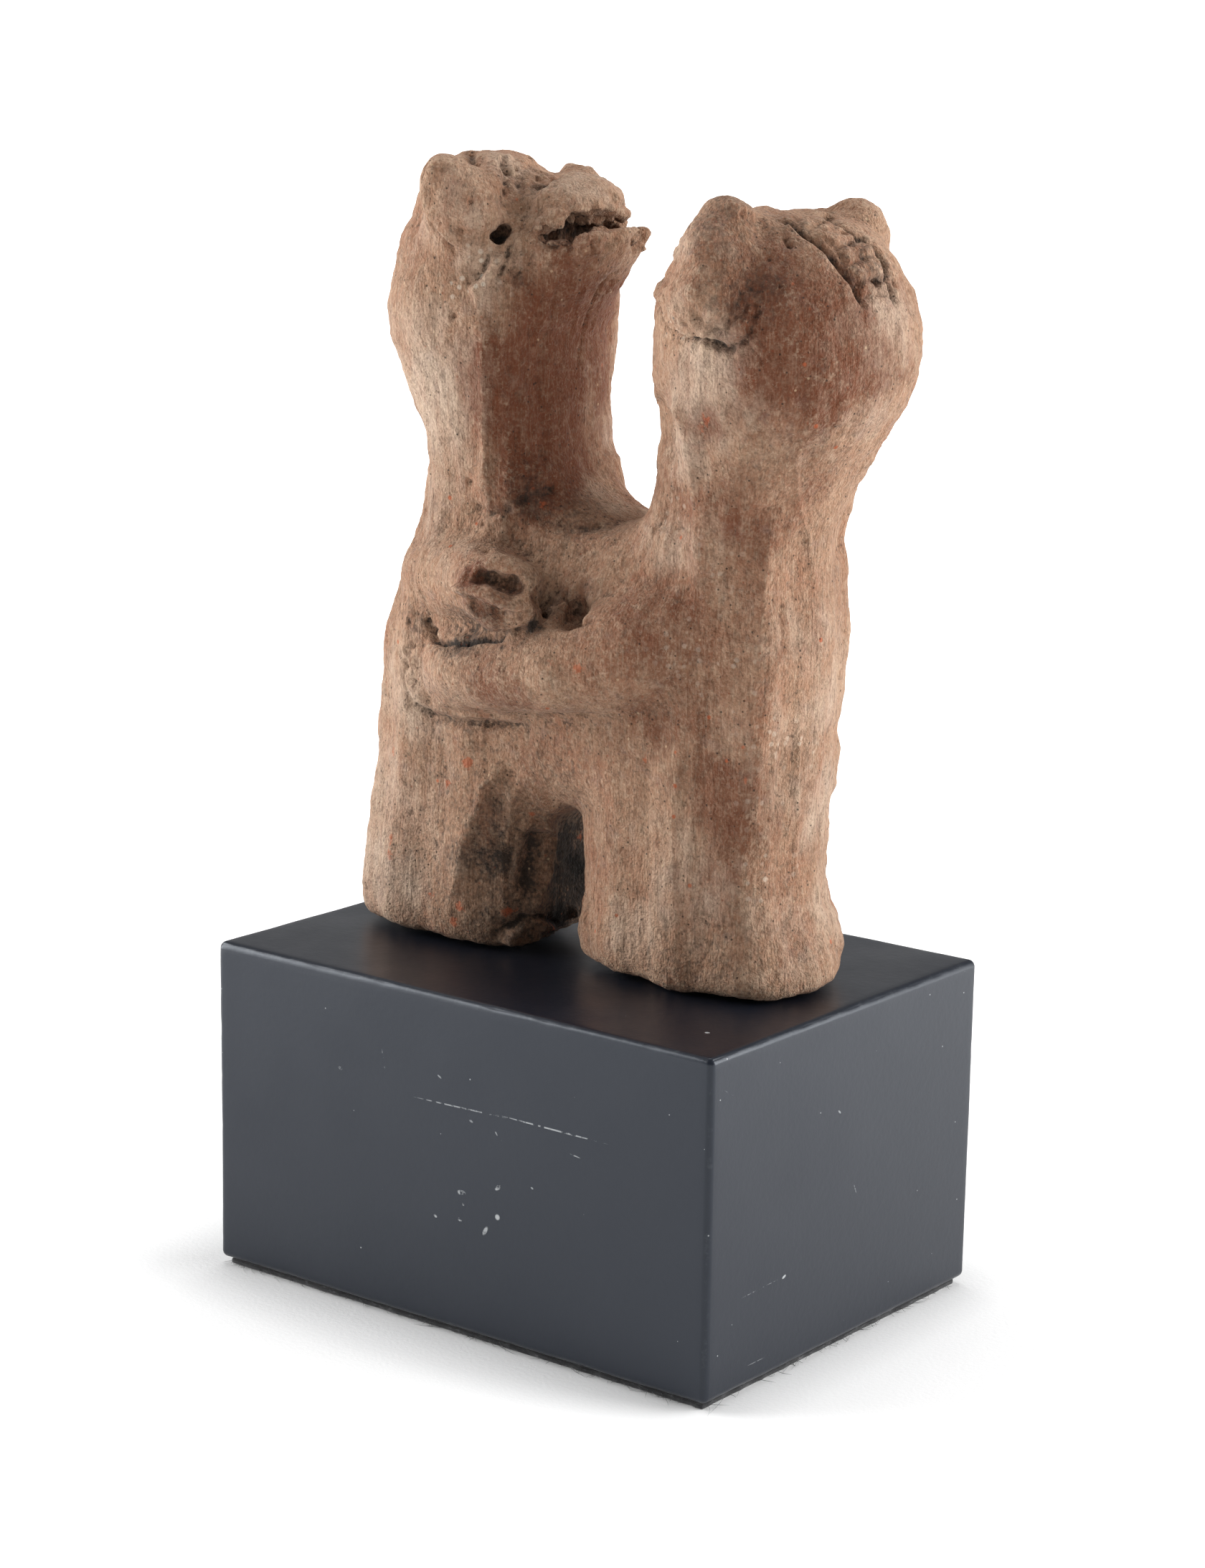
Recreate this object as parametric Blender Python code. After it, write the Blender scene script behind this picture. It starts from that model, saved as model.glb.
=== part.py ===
"""Terracotta double figure on a black painted block, with felt under the block.

Two upright animal figures embrace, face to face. They are one piece of clay: two pillar bodies
joined at the belly, with an arch between the feet, a narrow valley between the necks, and two
arms on each side. The block is wood painted black. Metres, +Z up, origin at the middle of the
felt's underside. +X runs along the block, from the left figure to the right one.
"""

import math

import bmesh
import bpy
import numpy as np
from mathutils import Matrix, Vector

# The block and its felt
PLINTH_LENGTH = 0.0786
PLINTH_WIDTH = 0.0570
PLINTH_HEIGHT = 0.0426
PLINTH_EDGE_RADIUS = 0.0009
FELT_THICKNESS = 0.0007
FELT_INSET = 0.0010
REST_GAP = 0.0003

# The clay. Every length and place of the figures below is in hundredths of their height.
FIGURE_HEIGHT = 0.100
SHARE = FIGURE_HEIGHT / 100

# How the clay is worked: the grain of the fused surface and how often each join is stroked smooth
CLAY_GRAIN = 0.85
BODY_STROKES = 14
LIMB_STROKES = 3
CLAY_TRIANGLES = 7750

# The two bodies, foot to crown: height, the -X face, the +X face, half width along Y
LEFT_BODY = (
    (0.0, -36.4, -6.6, 11.2),
    (1.6, -37.0, -5.4, 12.0),
    (4.5, -36.2, -5.0, 12.1),
    (12.0, -34.9, -5.2, 12.0),
    (20.0, -33.1, -4.8, 11.8),
    (27.0, -32.8, -4.2, 12.0),
    (35.0, -31.9, -4.0, 12.3),
    (42.0, -31.1, -3.8, 12.6),
    (47.0, -29.2, -3.9, 12.5),
    (53.0, -26.8, -0.8, 12.2),
    (60.0, -24.9, -2.0, 11.9),
    (65.0, -24.6, -3.4, 12.0),
    (70.0, -26.6, -3.7, 12.6),
    (75.0, -28.8, -3.8, 13.6),
    (80.0, -29.7, -3.8, 14.2),
    (85.0, -28.9, -3.6, 14.0),
    (90.0, -27.6, -4.4, 13.0),
    (94.0, -26.0, -6.6, 11.4),
    (97.0, -24.0, -9.8, 9.2),
    (99.0, -21.6, -12.6, 6.4),
    (99.8, -19.0, -15.0, 3.2),
)
RIGHT_BODY = (
    (0.0, -0.2, 33.9, 11.2),
    (1.6, -1.3, 35.0, 12.1),
    (3.8, -1.1, 34.6, 12.2),
    (7.5, -0.3, 33.2, 12.0),
    (12.0, 0.0, 32.2, 12.0),
    (20.0, 0.4, 32.0, 12.1),
    (29.0, 1.6, 32.7, 12.2),
    (36.0, 3.2, 33.3, 12.4),
    (43.0, 5.0, 33.4, 12.6),
    (50.0, 7.6, 33.1, 12.2),
    (56.0, 9.4, 33.2, 12.0),
    (61.0, 10.9, 34.4, 12.2),
    (65.0, 11.4, 36.0, 12.7),
    (69.0, 11.6, 38.9, 13.9),
    (74.0, 11.2, 41.5, 15.3),
    (79.0, 11.0, 42.3, 15.7),
    (84.0, 11.4, 41.5, 15.0),
    (88.0, 12.8, 39.6, 13.5),
    (91.6, 15.8, 36.4, 11.2),
    (94.0, 19.6, 32.4, 7.6),
    (94.8, 22.4, 29.6, 3.9),
)
RIGHT_BODY_ACROSS = 1.0
# How square each body is cut on its +X side and its -X side, and up to what height. 2 is an oval.
LEFT_SQUARENESS = (3.4, 2.3, 86.0)
RIGHT_SQUARENESS = (2.9, 2.7, 68.0)
ROUND = 2.2
SQUARENESS_FADES_OVER = 10.0
RING_STEP = 1.5
RING_SIDES = 64

# Each body was pared upright with a blade: the plan angle of every ridge left, in degrees from +X
LEFT_RIDGES = (-150, -112, -63, -18, 24, 66, 104, 150, 186)
RIGHT_RIDGES = (-165, -118, -78, -38, 2, 44, 88, 128, 168)
PARING_DEPTH = 1.1
PARED_UP_TO = 66.0
PARING_FADES_OVER = 12.0

# The belly that joins the bodies: place along X, lowest, highest, half width along Y
BELLY = (
    (-18.0, 8.0, 62.0, 8.0),
    (-9.0, 13.6, 60.0, 10.4),
    (-4.0, 17.6, 61.0, 11.0),
    (0.4, 19.4, 57.8, 11.2),
    (4.8, 19.0, 55.8, 11.2),
    (9.2, 14.8, 57.0, 11.2),
    (13.6, 9.0, 59.6, 10.8),
    (20.0, 6.0, 62.0, 9.0),
)

# The snout of the left head, which looks towards +X. The jaw is a short pillar that flares to a
# wide lip, given like the bodies. Above it are the nose and its bridge.
JAW = (
    (74.0, -16.0, -4.2, 7.6),
    (80.0, -15.0, -3.4, 8.0),
    (84.5, -14.0, -0.4, 8.5),
    (88.0, -13.0, 2.0, 8.8),
    (90.6, -12.0, 3.2, 8.6),
    (92.0, -12.0, 3.5, 8.0),
)
JAW_SQUARENESS = (2.4, 2.4, 200.0)
# Lumps of clay: centre, half sizes, turns in degrees about X, Y and Z
NOSE = ((-5.4, 0, 93.6), (6.0, 7.2, 4.2), (0, -4, 0))
MOUTH = ((-0.2, 0, 91.5), (6.6, 12.0, 1.6), (0, -18, 0))
# Rolls of clay: the places along the middle line, then the radius at each
BRIDGE = (((-17, 0, 93.6), (-11, 0, 94.6), (-5, 0, 94.6)), (5.0, 3.8, 2.4))
# The eye is poked in with a stick: place on the near side, way in, depth, radius outside and inside
EYE = ((-8.3, -11.0, 90.8), (-0.25, 0.95, -0.1), 6.5, 1.45, 1.0)
# The right head is the left one turned half round about this line, and this much lower
HEAD_TURN_LINE = (6.6, 0.5)
HEAD_DROP = 5.6

# The left head's ears are broad flaps that lean back. The right head's near ear is a thick fold
# pressed on the skull, its far ear a small knob.
LEFT_EARS = (
    ((-13.6, -11.2, 91.8), (4.6, 4.0, 8.6), (6, -26, 14)),
    ((-13.6, 11.4, 92.2), (3.6, 3.2, 6.6), (-6, -8, -10)),
)
RIGHT_FAR_EAR = ((28.6, 12.0, 90.8), (4.2, 3.8, 5.2), (0, 4, 0))
RIGHT_EAR_FOLD = (((24.6, -9.4, 94.0), (24.7, -10.9, 90.0), (25.2, -11.3, 85.4)), (3.0, 4.4, 5.6))

# The near side's arms. The right figure's long arm reaches round the left figure, and the left
# figure's short one lies on top of it and ends in a curled hand, hollow, with a tongue across it.
LONG_ARM = (
    (
        (23.0, -2.0, 45.5),
        (16.0, -7.4, 42.8),
        (8.5, -11.6, 40.0),
        (0.0, -13.2, 37.8),
        (-8.0, -13.2, 36.9),
        (-14.4, -11.8, 36.5),
    ),
    (9.0, 8.0, 6.4, 5.2, 4.8, 4.3),
)
SHORT_ARM = (
    ((-20, -3, 46), (-14.5, -7.8, 47.6), (-8.4, -11.8, 47.8), (-3.6, -15.4, 47.6)),
    (7.4, 6.4, 5.2, 4.2),
)
HAND = ((-2.2, -17.0, 47.8), (5.8, 3.3, 4.8), (0, 0, 32))
HAND_HOLLOWS = (
    ((-0.9, -19.7, 49.6), (3.9, 2.6, 1.4), (0, 12, 32)),
    ((-1.9, -20.3, 46.2), (3.1, 1.7, 1.1), (0, 10, 32)),
)
ARMPIT = ((4.4, -13.6, 46.4), (4.4, 4.2, 2.5), (0, 30, 20))
# The far side's arms are the near side's turned half round about this line
BODY_TURN_LINE = (1.5, 0.5)


def smooth_through(knots, values, places):
    """A smooth curve through the values: at each place, the cubic whose slopes at the two
    nearest knots are those of the chords around them."""
    knots, values = np.asarray(knots, float), np.asarray(values, float)
    slopes = np.gradient(values, knots, axis=0)
    left = np.clip(np.searchsorted(knots, places, side="right") - 1, 0, len(knots) - 2)
    width = (knots[left + 1] - knots[left])[:, None]
    t = (np.asarray(places, float) - knots[left])[:, None] / width
    return (
        values[left] * (1 + 2 * t) * (1 - t) ** 2
        + values[left + 1] * t**2 * (3 - 2 * t)
        + slopes[left] * width * t * (1 - t) ** 2
        - slopes[left + 1] * width * t**2 * (1 - t)
    )


def mesh_object(name, bm):
    """A new object in the scene from the bmesh, with its faces turned outwards."""
    bmesh.ops.recalc_face_normals(bm, faces=bm.faces)
    mesh = bpy.data.meshes.new(name)
    bm.to_mesh(mesh)
    bm.free()
    made = bpy.data.objects.new(name, mesh)
    bpy.context.scene.collection.objects.link(made)
    return made


def skin_rings(bm, rings):
    """Closed skin over rings of points, with a flat end on the first and the last ring."""
    loops = [[bm.verts.new(point) for point in ring] for ring in rings]
    sides = len(loops[0])
    for low, high in zip(loops, loops[1:]):
        for i in range(sides):
            j = (i + 1) % sides
            bm.faces.new((low[i], low[j], high[j], high[i]))
    bm.faces.new(loops[0])
    bm.faces.new(loops[-1])


def paring(angles, ridges):
    """How deep the blade went at each plan angle, from 0 on a ridge to 1 midway between two."""
    turns = np.sort(np.radians(ridges) % math.tau)
    around = np.concatenate([[turns[-1] - math.tau], turns, [turns[0] + math.tau]])
    angle = np.asarray(angles) % math.tau
    ahead = np.searchsorted(around, angle, side="right")
    share = (angle - around[ahead - 1]) / (around[ahead] - around[ahead - 1])
    return np.sin(math.pi * share)


def pillar(bm, stations, squareness, ridges=(), across=0.0):
    """A pillar of rounded-square rings, each narrowed by the paring. The squareness is that of the
    rings' +X half, then of their -X half, then the height where both have gone."""
    stations = np.array(stations)
    heights = np.append(np.arange(stations[0, 0], stations[-1, 0] - 0.4, RING_STEP), stations[-1, 0])
    shapes = smooth_through(stations[:, 0], stations[:, 1:], heights)
    angles = np.arange(RING_SIDES) * math.tau / RING_SIDES
    cosine, sine = np.cos(angles), np.sin(angles)
    square = np.where(cosine > 0, *squareness[:2])
    cut = paring(angles, ridges) if ridges else 0.0
    rings = []
    for height, (behind, ahead, width) in zip(heights, shapes):
        fade = np.clip((PARED_UP_TO - height) / PARING_FADES_OVER, 0, 1)
        still_square = np.clip((squareness[2] - height) / SQUARENESS_FADES_OVER, 0, 1)
        power = ROUND + (square - ROUND) * still_square
        half = (ahead - behind) / 2
        reach = (np.abs(cosine / half) ** power + np.abs(sine / width) ** power) ** (-1 / power)
        reach = reach - PARING_DEPTH * fade * cut
        x = (ahead + behind) / 2 + reach * cosine
        y = across + reach * sine
        rings.append([(u, v, height) for u, v in zip(x, y)])
    skin_rings(bm, rings)


def belly(bm):
    """The joined bellies: oval rings in the YZ plane, set along X."""
    stations = np.array(BELLY)
    places = np.linspace(stations[0, 0], stations[-1, 0], 25)
    shapes = smooth_through(stations[:, 0], stations[:, 1:], places)
    angles = np.arange(RING_SIDES) * math.tau / RING_SIDES
    rings = []
    for place, (low, high, width) in zip(places, shapes):
        middle, half = (low + high) / 2, (high - low) / 2
        squareness = 3.2
        c, s = np.cos(angles), np.sin(angles)
        y = width * np.sign(c) * np.abs(c) ** (2 / squareness)
        z = middle + half * np.sign(s) * np.abs(s) ** (2 / squareness)
        rings.append([(place, v, w) for v, w in zip(y, z)])
    skin_rings(bm, rings)


def limb(bm, roll, flatness=1.0, sides=24, steps=18):
    """A rolled strip of clay along a smooth path, round at both ends. Flatness is how far it
    stands out sideways as a share of how tall it is."""
    path, radii = roll
    knots = np.linspace(0, 1, len(path))
    t = np.linspace(0, 1, steps)
    centres = smooth_through(knots, path, t)
    reach = smooth_through(knots, np.array(radii)[:, None], t)[:, 0]
    ahead = np.gradient(centres, axis=0)
    ahead /= np.linalg.norm(ahead, axis=1)[:, None]
    cap = np.linspace(0.999, 0, 5)[:-1]
    centres = np.vstack(
        [
            centres[0] - ahead[0] * reach[0] * cap[:, None],
            centres,
            centres[-1] + ahead[-1] * reach[-1] * cap[::-1, None],
        ]
    )
    ends = np.sqrt(1 - cap**2)
    reach = np.concatenate([reach[0] * ends, reach, reach[-1] * ends[::-1]])
    ahead = np.vstack([ahead[:1].repeat(4, 0), ahead, ahead[-1:].repeat(4, 0)])
    angles = np.arange(sides) * math.tau / sides
    rings = []
    for centre, r, along in zip(centres, reach, ahead):
        side = np.cross(along, (0, 0, 1))
        side /= np.linalg.norm(side)
        up = np.cross(side, along)
        rings.append(
            [
                centre + r * (math.cos(a) * flatness * side + math.sin(a) * up)
                for a in angles
            ]
        )
    skin_rings(bm, rings)


def lump(bm, shape, sides=28):
    """An egg of clay pressed on: half sizes along its own axes, turned by degrees about X, Y, Z."""
    centre, half_sizes, turns = shape
    turned = Matrix.LocRotScale(
        Vector(centre),
        (
            Matrix.Rotation(math.radians(turns[2]), 3, "Z")
            @ Matrix.Rotation(math.radians(turns[1]), 3, "Y")
            @ Matrix.Rotation(math.radians(turns[0]), 3, "X")
        ).to_quaternion(),
        Vector(half_sizes),
    )
    bmesh.ops.create_uvsphere(bm, u_segments=sides, v_segments=sides // 2, radius=1, matrix=turned)


def add_turned(bm, made, turn):
    """Adds the shape to the bigger one after the turn, and lets go of it."""
    bmesh.ops.transform(made, matrix=turn, verts=made.verts)
    holder = bpy.data.meshes.new("turned")
    made.to_mesh(holder)
    made.free()
    bm.from_mesh(holder)
    bpy.data.meshes.remove(holder)


def half_turn(line, drop=0.0):
    """Half a turn about the upright line through this x and y, and a step down."""
    there = Matrix.Translation((*line, -drop))
    back = Matrix.Translation((-line[0], -line[1], 0))
    return there @ Matrix.Rotation(math.pi, 4, "Z") @ back


def arms():
    """One side's arms and hand."""
    bm = bmesh.new()
    limb(bm, LONG_ARM, flatness=0.9)
    limb(bm, SHORT_ARM, flatness=1.15)
    lump(bm, HAND)
    return bm


def snout():
    """The jaw, the nose and its bridge."""
    bm = bmesh.new()
    pillar(bm, JAW, JAW_SQUARENESS)
    lump(bm, NOSE)
    limb(bm, BRIDGE, flatness=1.2)
    return bm


def ears():
    """The four ears."""
    bm = bmesh.new()
    for ear in (*LEFT_EARS, RIGHT_FAR_EAR):
        lump(bm, ear)
    limb(bm, RIGHT_EAR_FOLD, flatness=1.1)
    return bm


def mouth():
    """The open mouth, a thin wedge that rises forward between nose and lip."""
    bm = bmesh.new()
    lump(bm, MOUTH, sides=20)
    return bm


def eye_holes():
    """A round hole poked in on each side of the snout."""
    place, inwards, depth, outside, inside = EYE
    bm = bmesh.new()
    for side in (1, -1):
        across = Vector((1, side, 1))
        way = (Vector(inwards) * across).normalized()
        middle = Vector(place) * across + way * (depth / 2 - 2 * outside)
        matrix = Matrix.Translation(middle) @ way.to_track_quat("Z", "Y").to_matrix().to_4x4()
        bmesh.ops.create_cone(
            bm, cap_ends=True, segments=12, radius1=outside, radius2=inside, depth=depth, matrix=matrix
        )
    return bm


def hand_hollows():
    """The two halves of the hand's hollow, and the pit beside the hand."""
    bm = bmesh.new()
    for hollow in HAND_HOLLOWS:
        lump(bm, hollow, sides=14)
    lump(bm, ARMPIT, sides=16)
    return bm


def placed(obj):
    """Shrinks a shape given in hundredths to metres and stands it on the block."""
    block_top = FELT_THICKNESS + REST_GAP + PLINTH_HEIGHT
    stand = Matrix.Translation((0, 0, block_top + REST_GAP)) @ Matrix.Scale(SHARE, 4)
    obj.data.transform(stand)


def baked(obj):
    """Replaces the object's mesh by what its modifiers make of it."""
    graph = bpy.context.evaluated_depsgraph_get()
    mesh = bpy.data.meshes.new_from_object(obj.evaluated_get(graph))
    obj.modifiers.clear()
    obj.data = mesh


def fuse(obj, strokes):
    """Makes overlapping lumps of clay one skin and strokes the joins smooth."""
    remesh = obj.modifiers.new("Fuse", "REMESH")
    remesh.mode = "VOXEL"
    remesh.voxel_size = CLAY_GRAIN
    stroke = obj.modifiers.new("Stroke", "SMOOTH")
    stroke.factor = 0.5
    stroke.iterations = strokes
    baked(obj)


def carve(clay, bm, turn):
    """Cuts the shape out of the clay after the turn."""
    bmesh.ops.transform(bm, matrix=turn, verts=bm.verts)
    tool = mesh_object("cutter", bm)
    cut = clay.modifiers.new("Carve", "BOOLEAN")
    cut.operation = "DIFFERENCE"
    cut.solver = "EXACT"
    cut.object = tool
    baked(clay)
    bpy.data.objects.remove(tool, do_unlink=True)


def terracotta():
    """The two figures as one closed skin: the bodies are fused and stroked smooth, then the arms
    and heads are pressed on with sharper joins, and then the hollows are cut."""
    bm = bmesh.new()
    pillar(bm, LEFT_BODY, LEFT_SQUARENESS, LEFT_RIDGES)
    pillar(bm, RIGHT_BODY, RIGHT_SQUARENESS, RIGHT_RIDGES, RIGHT_BODY_ACROSS)
    belly(bm)
    clay = mesh_object("double_figure", bm)
    fuse(clay, BODY_STROKES)
    as_is = Matrix.Identity(4)
    other_side = half_turn(BODY_TURN_LINE)
    other_head = half_turn(HEAD_TURN_LINE, HEAD_DROP)
    bm = bmesh.new()
    bm.from_mesh(clay.data)
    for turn in (as_is, other_side):
        add_turned(bm, arms(), turn)
    for turn in (as_is, other_head):
        add_turned(bm, snout(), turn)
    add_turned(bm, ears(), as_is)
    bm.to_mesh(clay.data)
    bm.free()
    fuse(clay, LIMB_STROKES)
    trim = clay.modifiers.new("Fewer faces", "DECIMATE")
    trim.ratio = min(1.0, CLAY_TRIANGLES / (2 * len(clay.data.polygons)))
    baked(clay)
    for tool, turns in (
        (mouth, (as_is, other_head)),
        (eye_holes, (as_is, other_head)),
        (hand_hollows, (as_is, other_side)),
    ):
        for turn in turns:
            carve(clay, tool(), turn)
    placed(clay)
    return clay


def block(name, length, width, low, high, radius):
    """A box with its edges rounded by a Bevel modifier."""
    bm = bmesh.new()
    bmesh.ops.create_cube(bm, size=1)
    for vert in bm.verts:
        vert.co.x *= length
        vert.co.y *= width
        vert.co.z = high if vert.co.z > 0 else low
    made = mesh_object(name, bm)
    bevel = made.modifiers.new("Rounded edges", "BEVEL")
    bevel.width = radius
    bevel.segments = 3
    return made


def finish(obj, name, colour, roughness, metallic=0.0):
    """Gives the object its own material."""
    material = bpy.data.materials.new(name)
    material.use_nodes = True
    surface = material.node_tree.nodes["Principled BSDF"]
    surface.inputs["Base Color"].default_value = (*colour, 1)
    surface.inputs["Roughness"].default_value = roughness
    surface.inputs["Metallic"].default_value = metallic
    obj.data.materials.clear()
    obj.data.materials.append(material)


def main():
    for obj in list(bpy.data.objects):
        bpy.data.objects.remove(obj, do_unlink=True)
    clay = terracotta()
    finish(clay, "fired_clay", (0.30, 0.17, 0.11), 0.85)
    block_low = FELT_THICKNESS + REST_GAP
    plinth = block(
        "plinth", PLINTH_LENGTH, PLINTH_WIDTH, block_low, block_low + PLINTH_HEIGHT, PLINTH_EDGE_RADIUS
    )
    finish(plinth, "black_paint", (0.012, 0.013, 0.015), 0.35)
    felt = block(
        "felt_pad",
        PLINTH_LENGTH - 2 * FELT_INSET,
        PLINTH_WIDTH - 2 * FELT_INSET,
        0.0,
        FELT_THICKNESS,
        FELT_THICKNESS / 4,
    )
    finish(felt, "black_felt", (0.015, 0.015, 0.015), 0.95)


main()
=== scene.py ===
"""Terracotta double figure on a black painted block: its finish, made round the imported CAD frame.

The clay skin is a copy of the CAD solid, stroked, pared, torn and pitted point by point with numpy.
Places that were read off the photograph are pixels of its 1680 x 2186 frame. A ray from the
camera carries each one on to the clay, so it lies on the surface from every side.
"""

import math
from itertools import product

import bmesh
import bpy
import numpy as np
from mathutils import Matrix, Vector
from mathutils.bvhtree import BVHTree


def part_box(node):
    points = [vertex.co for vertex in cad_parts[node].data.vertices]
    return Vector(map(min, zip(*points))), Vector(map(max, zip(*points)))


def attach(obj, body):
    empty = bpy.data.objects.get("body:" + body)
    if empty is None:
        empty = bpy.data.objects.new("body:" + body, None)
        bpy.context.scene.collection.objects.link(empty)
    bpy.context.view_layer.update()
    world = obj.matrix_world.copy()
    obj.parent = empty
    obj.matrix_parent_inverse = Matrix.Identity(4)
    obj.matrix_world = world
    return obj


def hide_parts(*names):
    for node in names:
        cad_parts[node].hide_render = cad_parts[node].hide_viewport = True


bl_info = {
    "name": "Terracotta double figure",
    "version": (1, 0, 0),
    "blender": (4, 5, 0),
    "location": "3D View > Sidebar > Double figure",
    "description": "Finishes the clay figures, their black block and its felt, and sets the stage",
    "category": "Add Mesh",
}

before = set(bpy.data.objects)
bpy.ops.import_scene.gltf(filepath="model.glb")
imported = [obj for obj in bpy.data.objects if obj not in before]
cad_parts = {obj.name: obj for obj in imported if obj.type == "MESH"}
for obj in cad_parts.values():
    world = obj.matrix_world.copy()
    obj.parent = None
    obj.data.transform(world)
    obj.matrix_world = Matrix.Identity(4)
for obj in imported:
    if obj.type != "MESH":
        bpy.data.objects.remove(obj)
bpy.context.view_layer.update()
CLAY_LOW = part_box("double_figure")[0].z
PLINTH_LOW, PLINTH_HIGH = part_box("plinth")
FELT_LOW, FELT_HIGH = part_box("felt_pad")
MM = 0.001
CHEST = Vector((0.002, 0.0, 0.085))

# The camera, as worked out from the block's edges in the photograph
IMAGE_WIDTH = 1680
IMAGE_HEIGHT = 2186
FOCAL_PIXELS = 5000.0
SENSOR_MM = 36.0
CAMERA_AZIMUTH = math.radians(37.78)
CAMERA_ELEVATION = math.radians(12.728)
CAMERA_ROLL = math.radians(0.899)
CAMERA_ASIDE = 0.00145
CAMERA_RISE = 0.06279
CAMERA_AWAY = 0.46736
FLOOR_TO_BLOCK = 0.0010


def camera_axes():
    """The camera's right, up and backward directions, and its place."""
    turn, tilt, roll = CAMERA_AZIMUTH, CAMERA_ELEVATION, CAMERA_ROLL
    level = np.array((math.cos(turn), math.sin(turn), 0.0))
    back = np.array(
        (math.sin(turn) * math.cos(tilt), -math.cos(turn) * math.cos(tilt), math.sin(tilt))
    )
    upright = np.cross(back, level)
    right = math.cos(roll) * level + math.sin(roll) * upright
    up = math.cos(roll) * upright - math.sin(roll) * level
    place = right * CAMERA_ASIDE + up * CAMERA_RISE + back * CAMERA_AWAY
    return right, up, back, place + (0, 0, FLOOR_TO_BLOCK)


RIGHT, UP, BACK, CAMERA_PLACE = camera_axes()


def linear(code):
    """A colour given as an sRGB hex code, as the linear numbers that Blender mixes."""
    shares = [int(code[i:i + 2], 16) / 255 for i in (1, 3, 5)]
    return tuple(s / 12.92 if s <= 0.04045 else ((s + 0.055) / 1.055) ** 2.4 for s in shares)


# Sizes and colours that a user would change


class ClayLook(bpy.types.PropertyGroup):
    """The clay: how coarsely it was worked, and the colours of body, dirt and grit"""

    grain: bpy.props.FloatProperty(
        name="Surface grain", description="Spacing of the points of the clay's skin",
        default=0.00031, min=0.0002, max=0.002, precision=5, unit="LENGTH",
    )
    triangles: bpy.props.IntProperty(
        name="Triangles", description="Most triangles that the clay's skin may have",
        default=192000, min=20000, max=199000,
    )
    paring: bpy.props.FloatProperty(
        name="Paring depth", description="How deep the blade's upright strokes went",
        default=0.00042, min=0.0, max=0.002, precision=5, unit="LENGTH",
    )
    lumps: bpy.props.FloatProperty(
        name="Hand lumps", description="How far the hand-pressed skin swells and sinks",
        default=0.00040, min=0.0, max=0.002, precision=5, unit="LENGTH",
    )
    crumb: bpy.props.FloatProperty(
        name="Crumb", description="How rough the torn places are",
        default=0.00060, min=0.0, max=0.002, precision=5, unit="LENGTH",
    )
    body: bpy.props.FloatVectorProperty(
        name="Body", description="Fired clay where it is rubbed", subtype="COLOR",
        default=linear("#a27f66"), min=0, max=1,
    )
    tan: bpy.props.FloatVectorProperty(
        name="Dust", description="Pale tan dust that lies on the skin", subtype="COLOR",
        default=linear("#bda793"), min=0, max=1,
    )
    # Red-brown, which also paints shade on the left neck's front
    red: bpy.props.FloatVectorProperty(
        name="Red brown", description="Redder clay where the skin is thin", subtype="COLOR",
        default=linear("#663823"), min=0, max=1,
    )
    # Soot colour, which also paints shade into the grooves, under the steps and inside the arch between
    # the feet
    soot_and_shade: bpy.props.FloatVectorProperty(
        name="Soot", description="Grey black of soot and old dirt", subtype="COLOR",
        default=linear("#312a25"), min=0, max=1,
    )
    grit: bpy.props.FloatVectorProperty(
        name="Grog", description="Crushed brick grains in the clay", subtype="COLOR",
        default=linear("#a4512f"), min=0, max=1,
    )
    chalk: bpy.props.FloatVectorProperty(
        name="Chalk", description="White lime flecks", subtype="COLOR",
        default=linear("#d9cdbb"), min=0, max=1,
    )


class BlockLook(bpy.types.PropertyGroup):
    """The wooden block and its paint"""

    spacing: bpy.props.FloatProperty(
        name="Grid spacing", description="Spacing of the points on the block's faces",
        default=0.0008, min=0.0004, max=0.01, precision=5, unit="LENGTH",
    )
    edge_radius: bpy.props.FloatProperty(
        name="Edge radius", description="Radius of the sanded edges",
        default=0.0009, min=0.0002, max=0.003, precision=5, unit="LENGTH",
    )
    waviness: bpy.props.FloatProperty(
        name="Waviness", description="How far sanding left the faces uneven",
        default=0.00006, min=0.0, max=0.001, precision=5, unit="LENGTH",
    )
    paint: bpy.props.FloatVectorProperty(
        name="Paint", description="Black paint", subtype="COLOR",
        default=linear("#11151f"), min=0, max=1,
    )
    # Grey of paint rubbed thin and of the painted highlight along the edges
    worn_and_highlight: bpy.props.FloatVectorProperty(
        name="Worn paint", description="Paint rubbed thin along the edges", subtype="COLOR",
        default=linear("#55585b"), min=0, max=1,
    )
    fleck: bpy.props.FloatVectorProperty(
        name="Flecks", description="Chips and specks of dust", subtype="COLOR",
        default=linear("#b4b7b8"), min=0, max=1,
    )


class FeltLook(bpy.types.PropertyGroup):
    """The felt under the block"""

    hairs: bpy.props.IntProperty(
        name="Hairs", description="Loose wool hairs along the felt's edge",
        default=260, min=0, max=2000,
    )
    hair_length: bpy.props.FloatProperty(
        name="Hair length", description="Length of a loose hair",
        default=0.0016, min=0.0002, max=0.01, precision=5, unit="LENGTH",
    )
    wool: bpy.props.FloatVectorProperty(
        name="Wool", description="Black wool", subtype="COLOR",
        default=linear("#17171a"), min=0, max=1,
    )
    lint: bpy.props.FloatVectorProperty(
        name="Lint", description="Grey lint caught in the wool", subtype="COLOR",
        default=linear("#6f7072"), min=0, max=1,
    )


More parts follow.
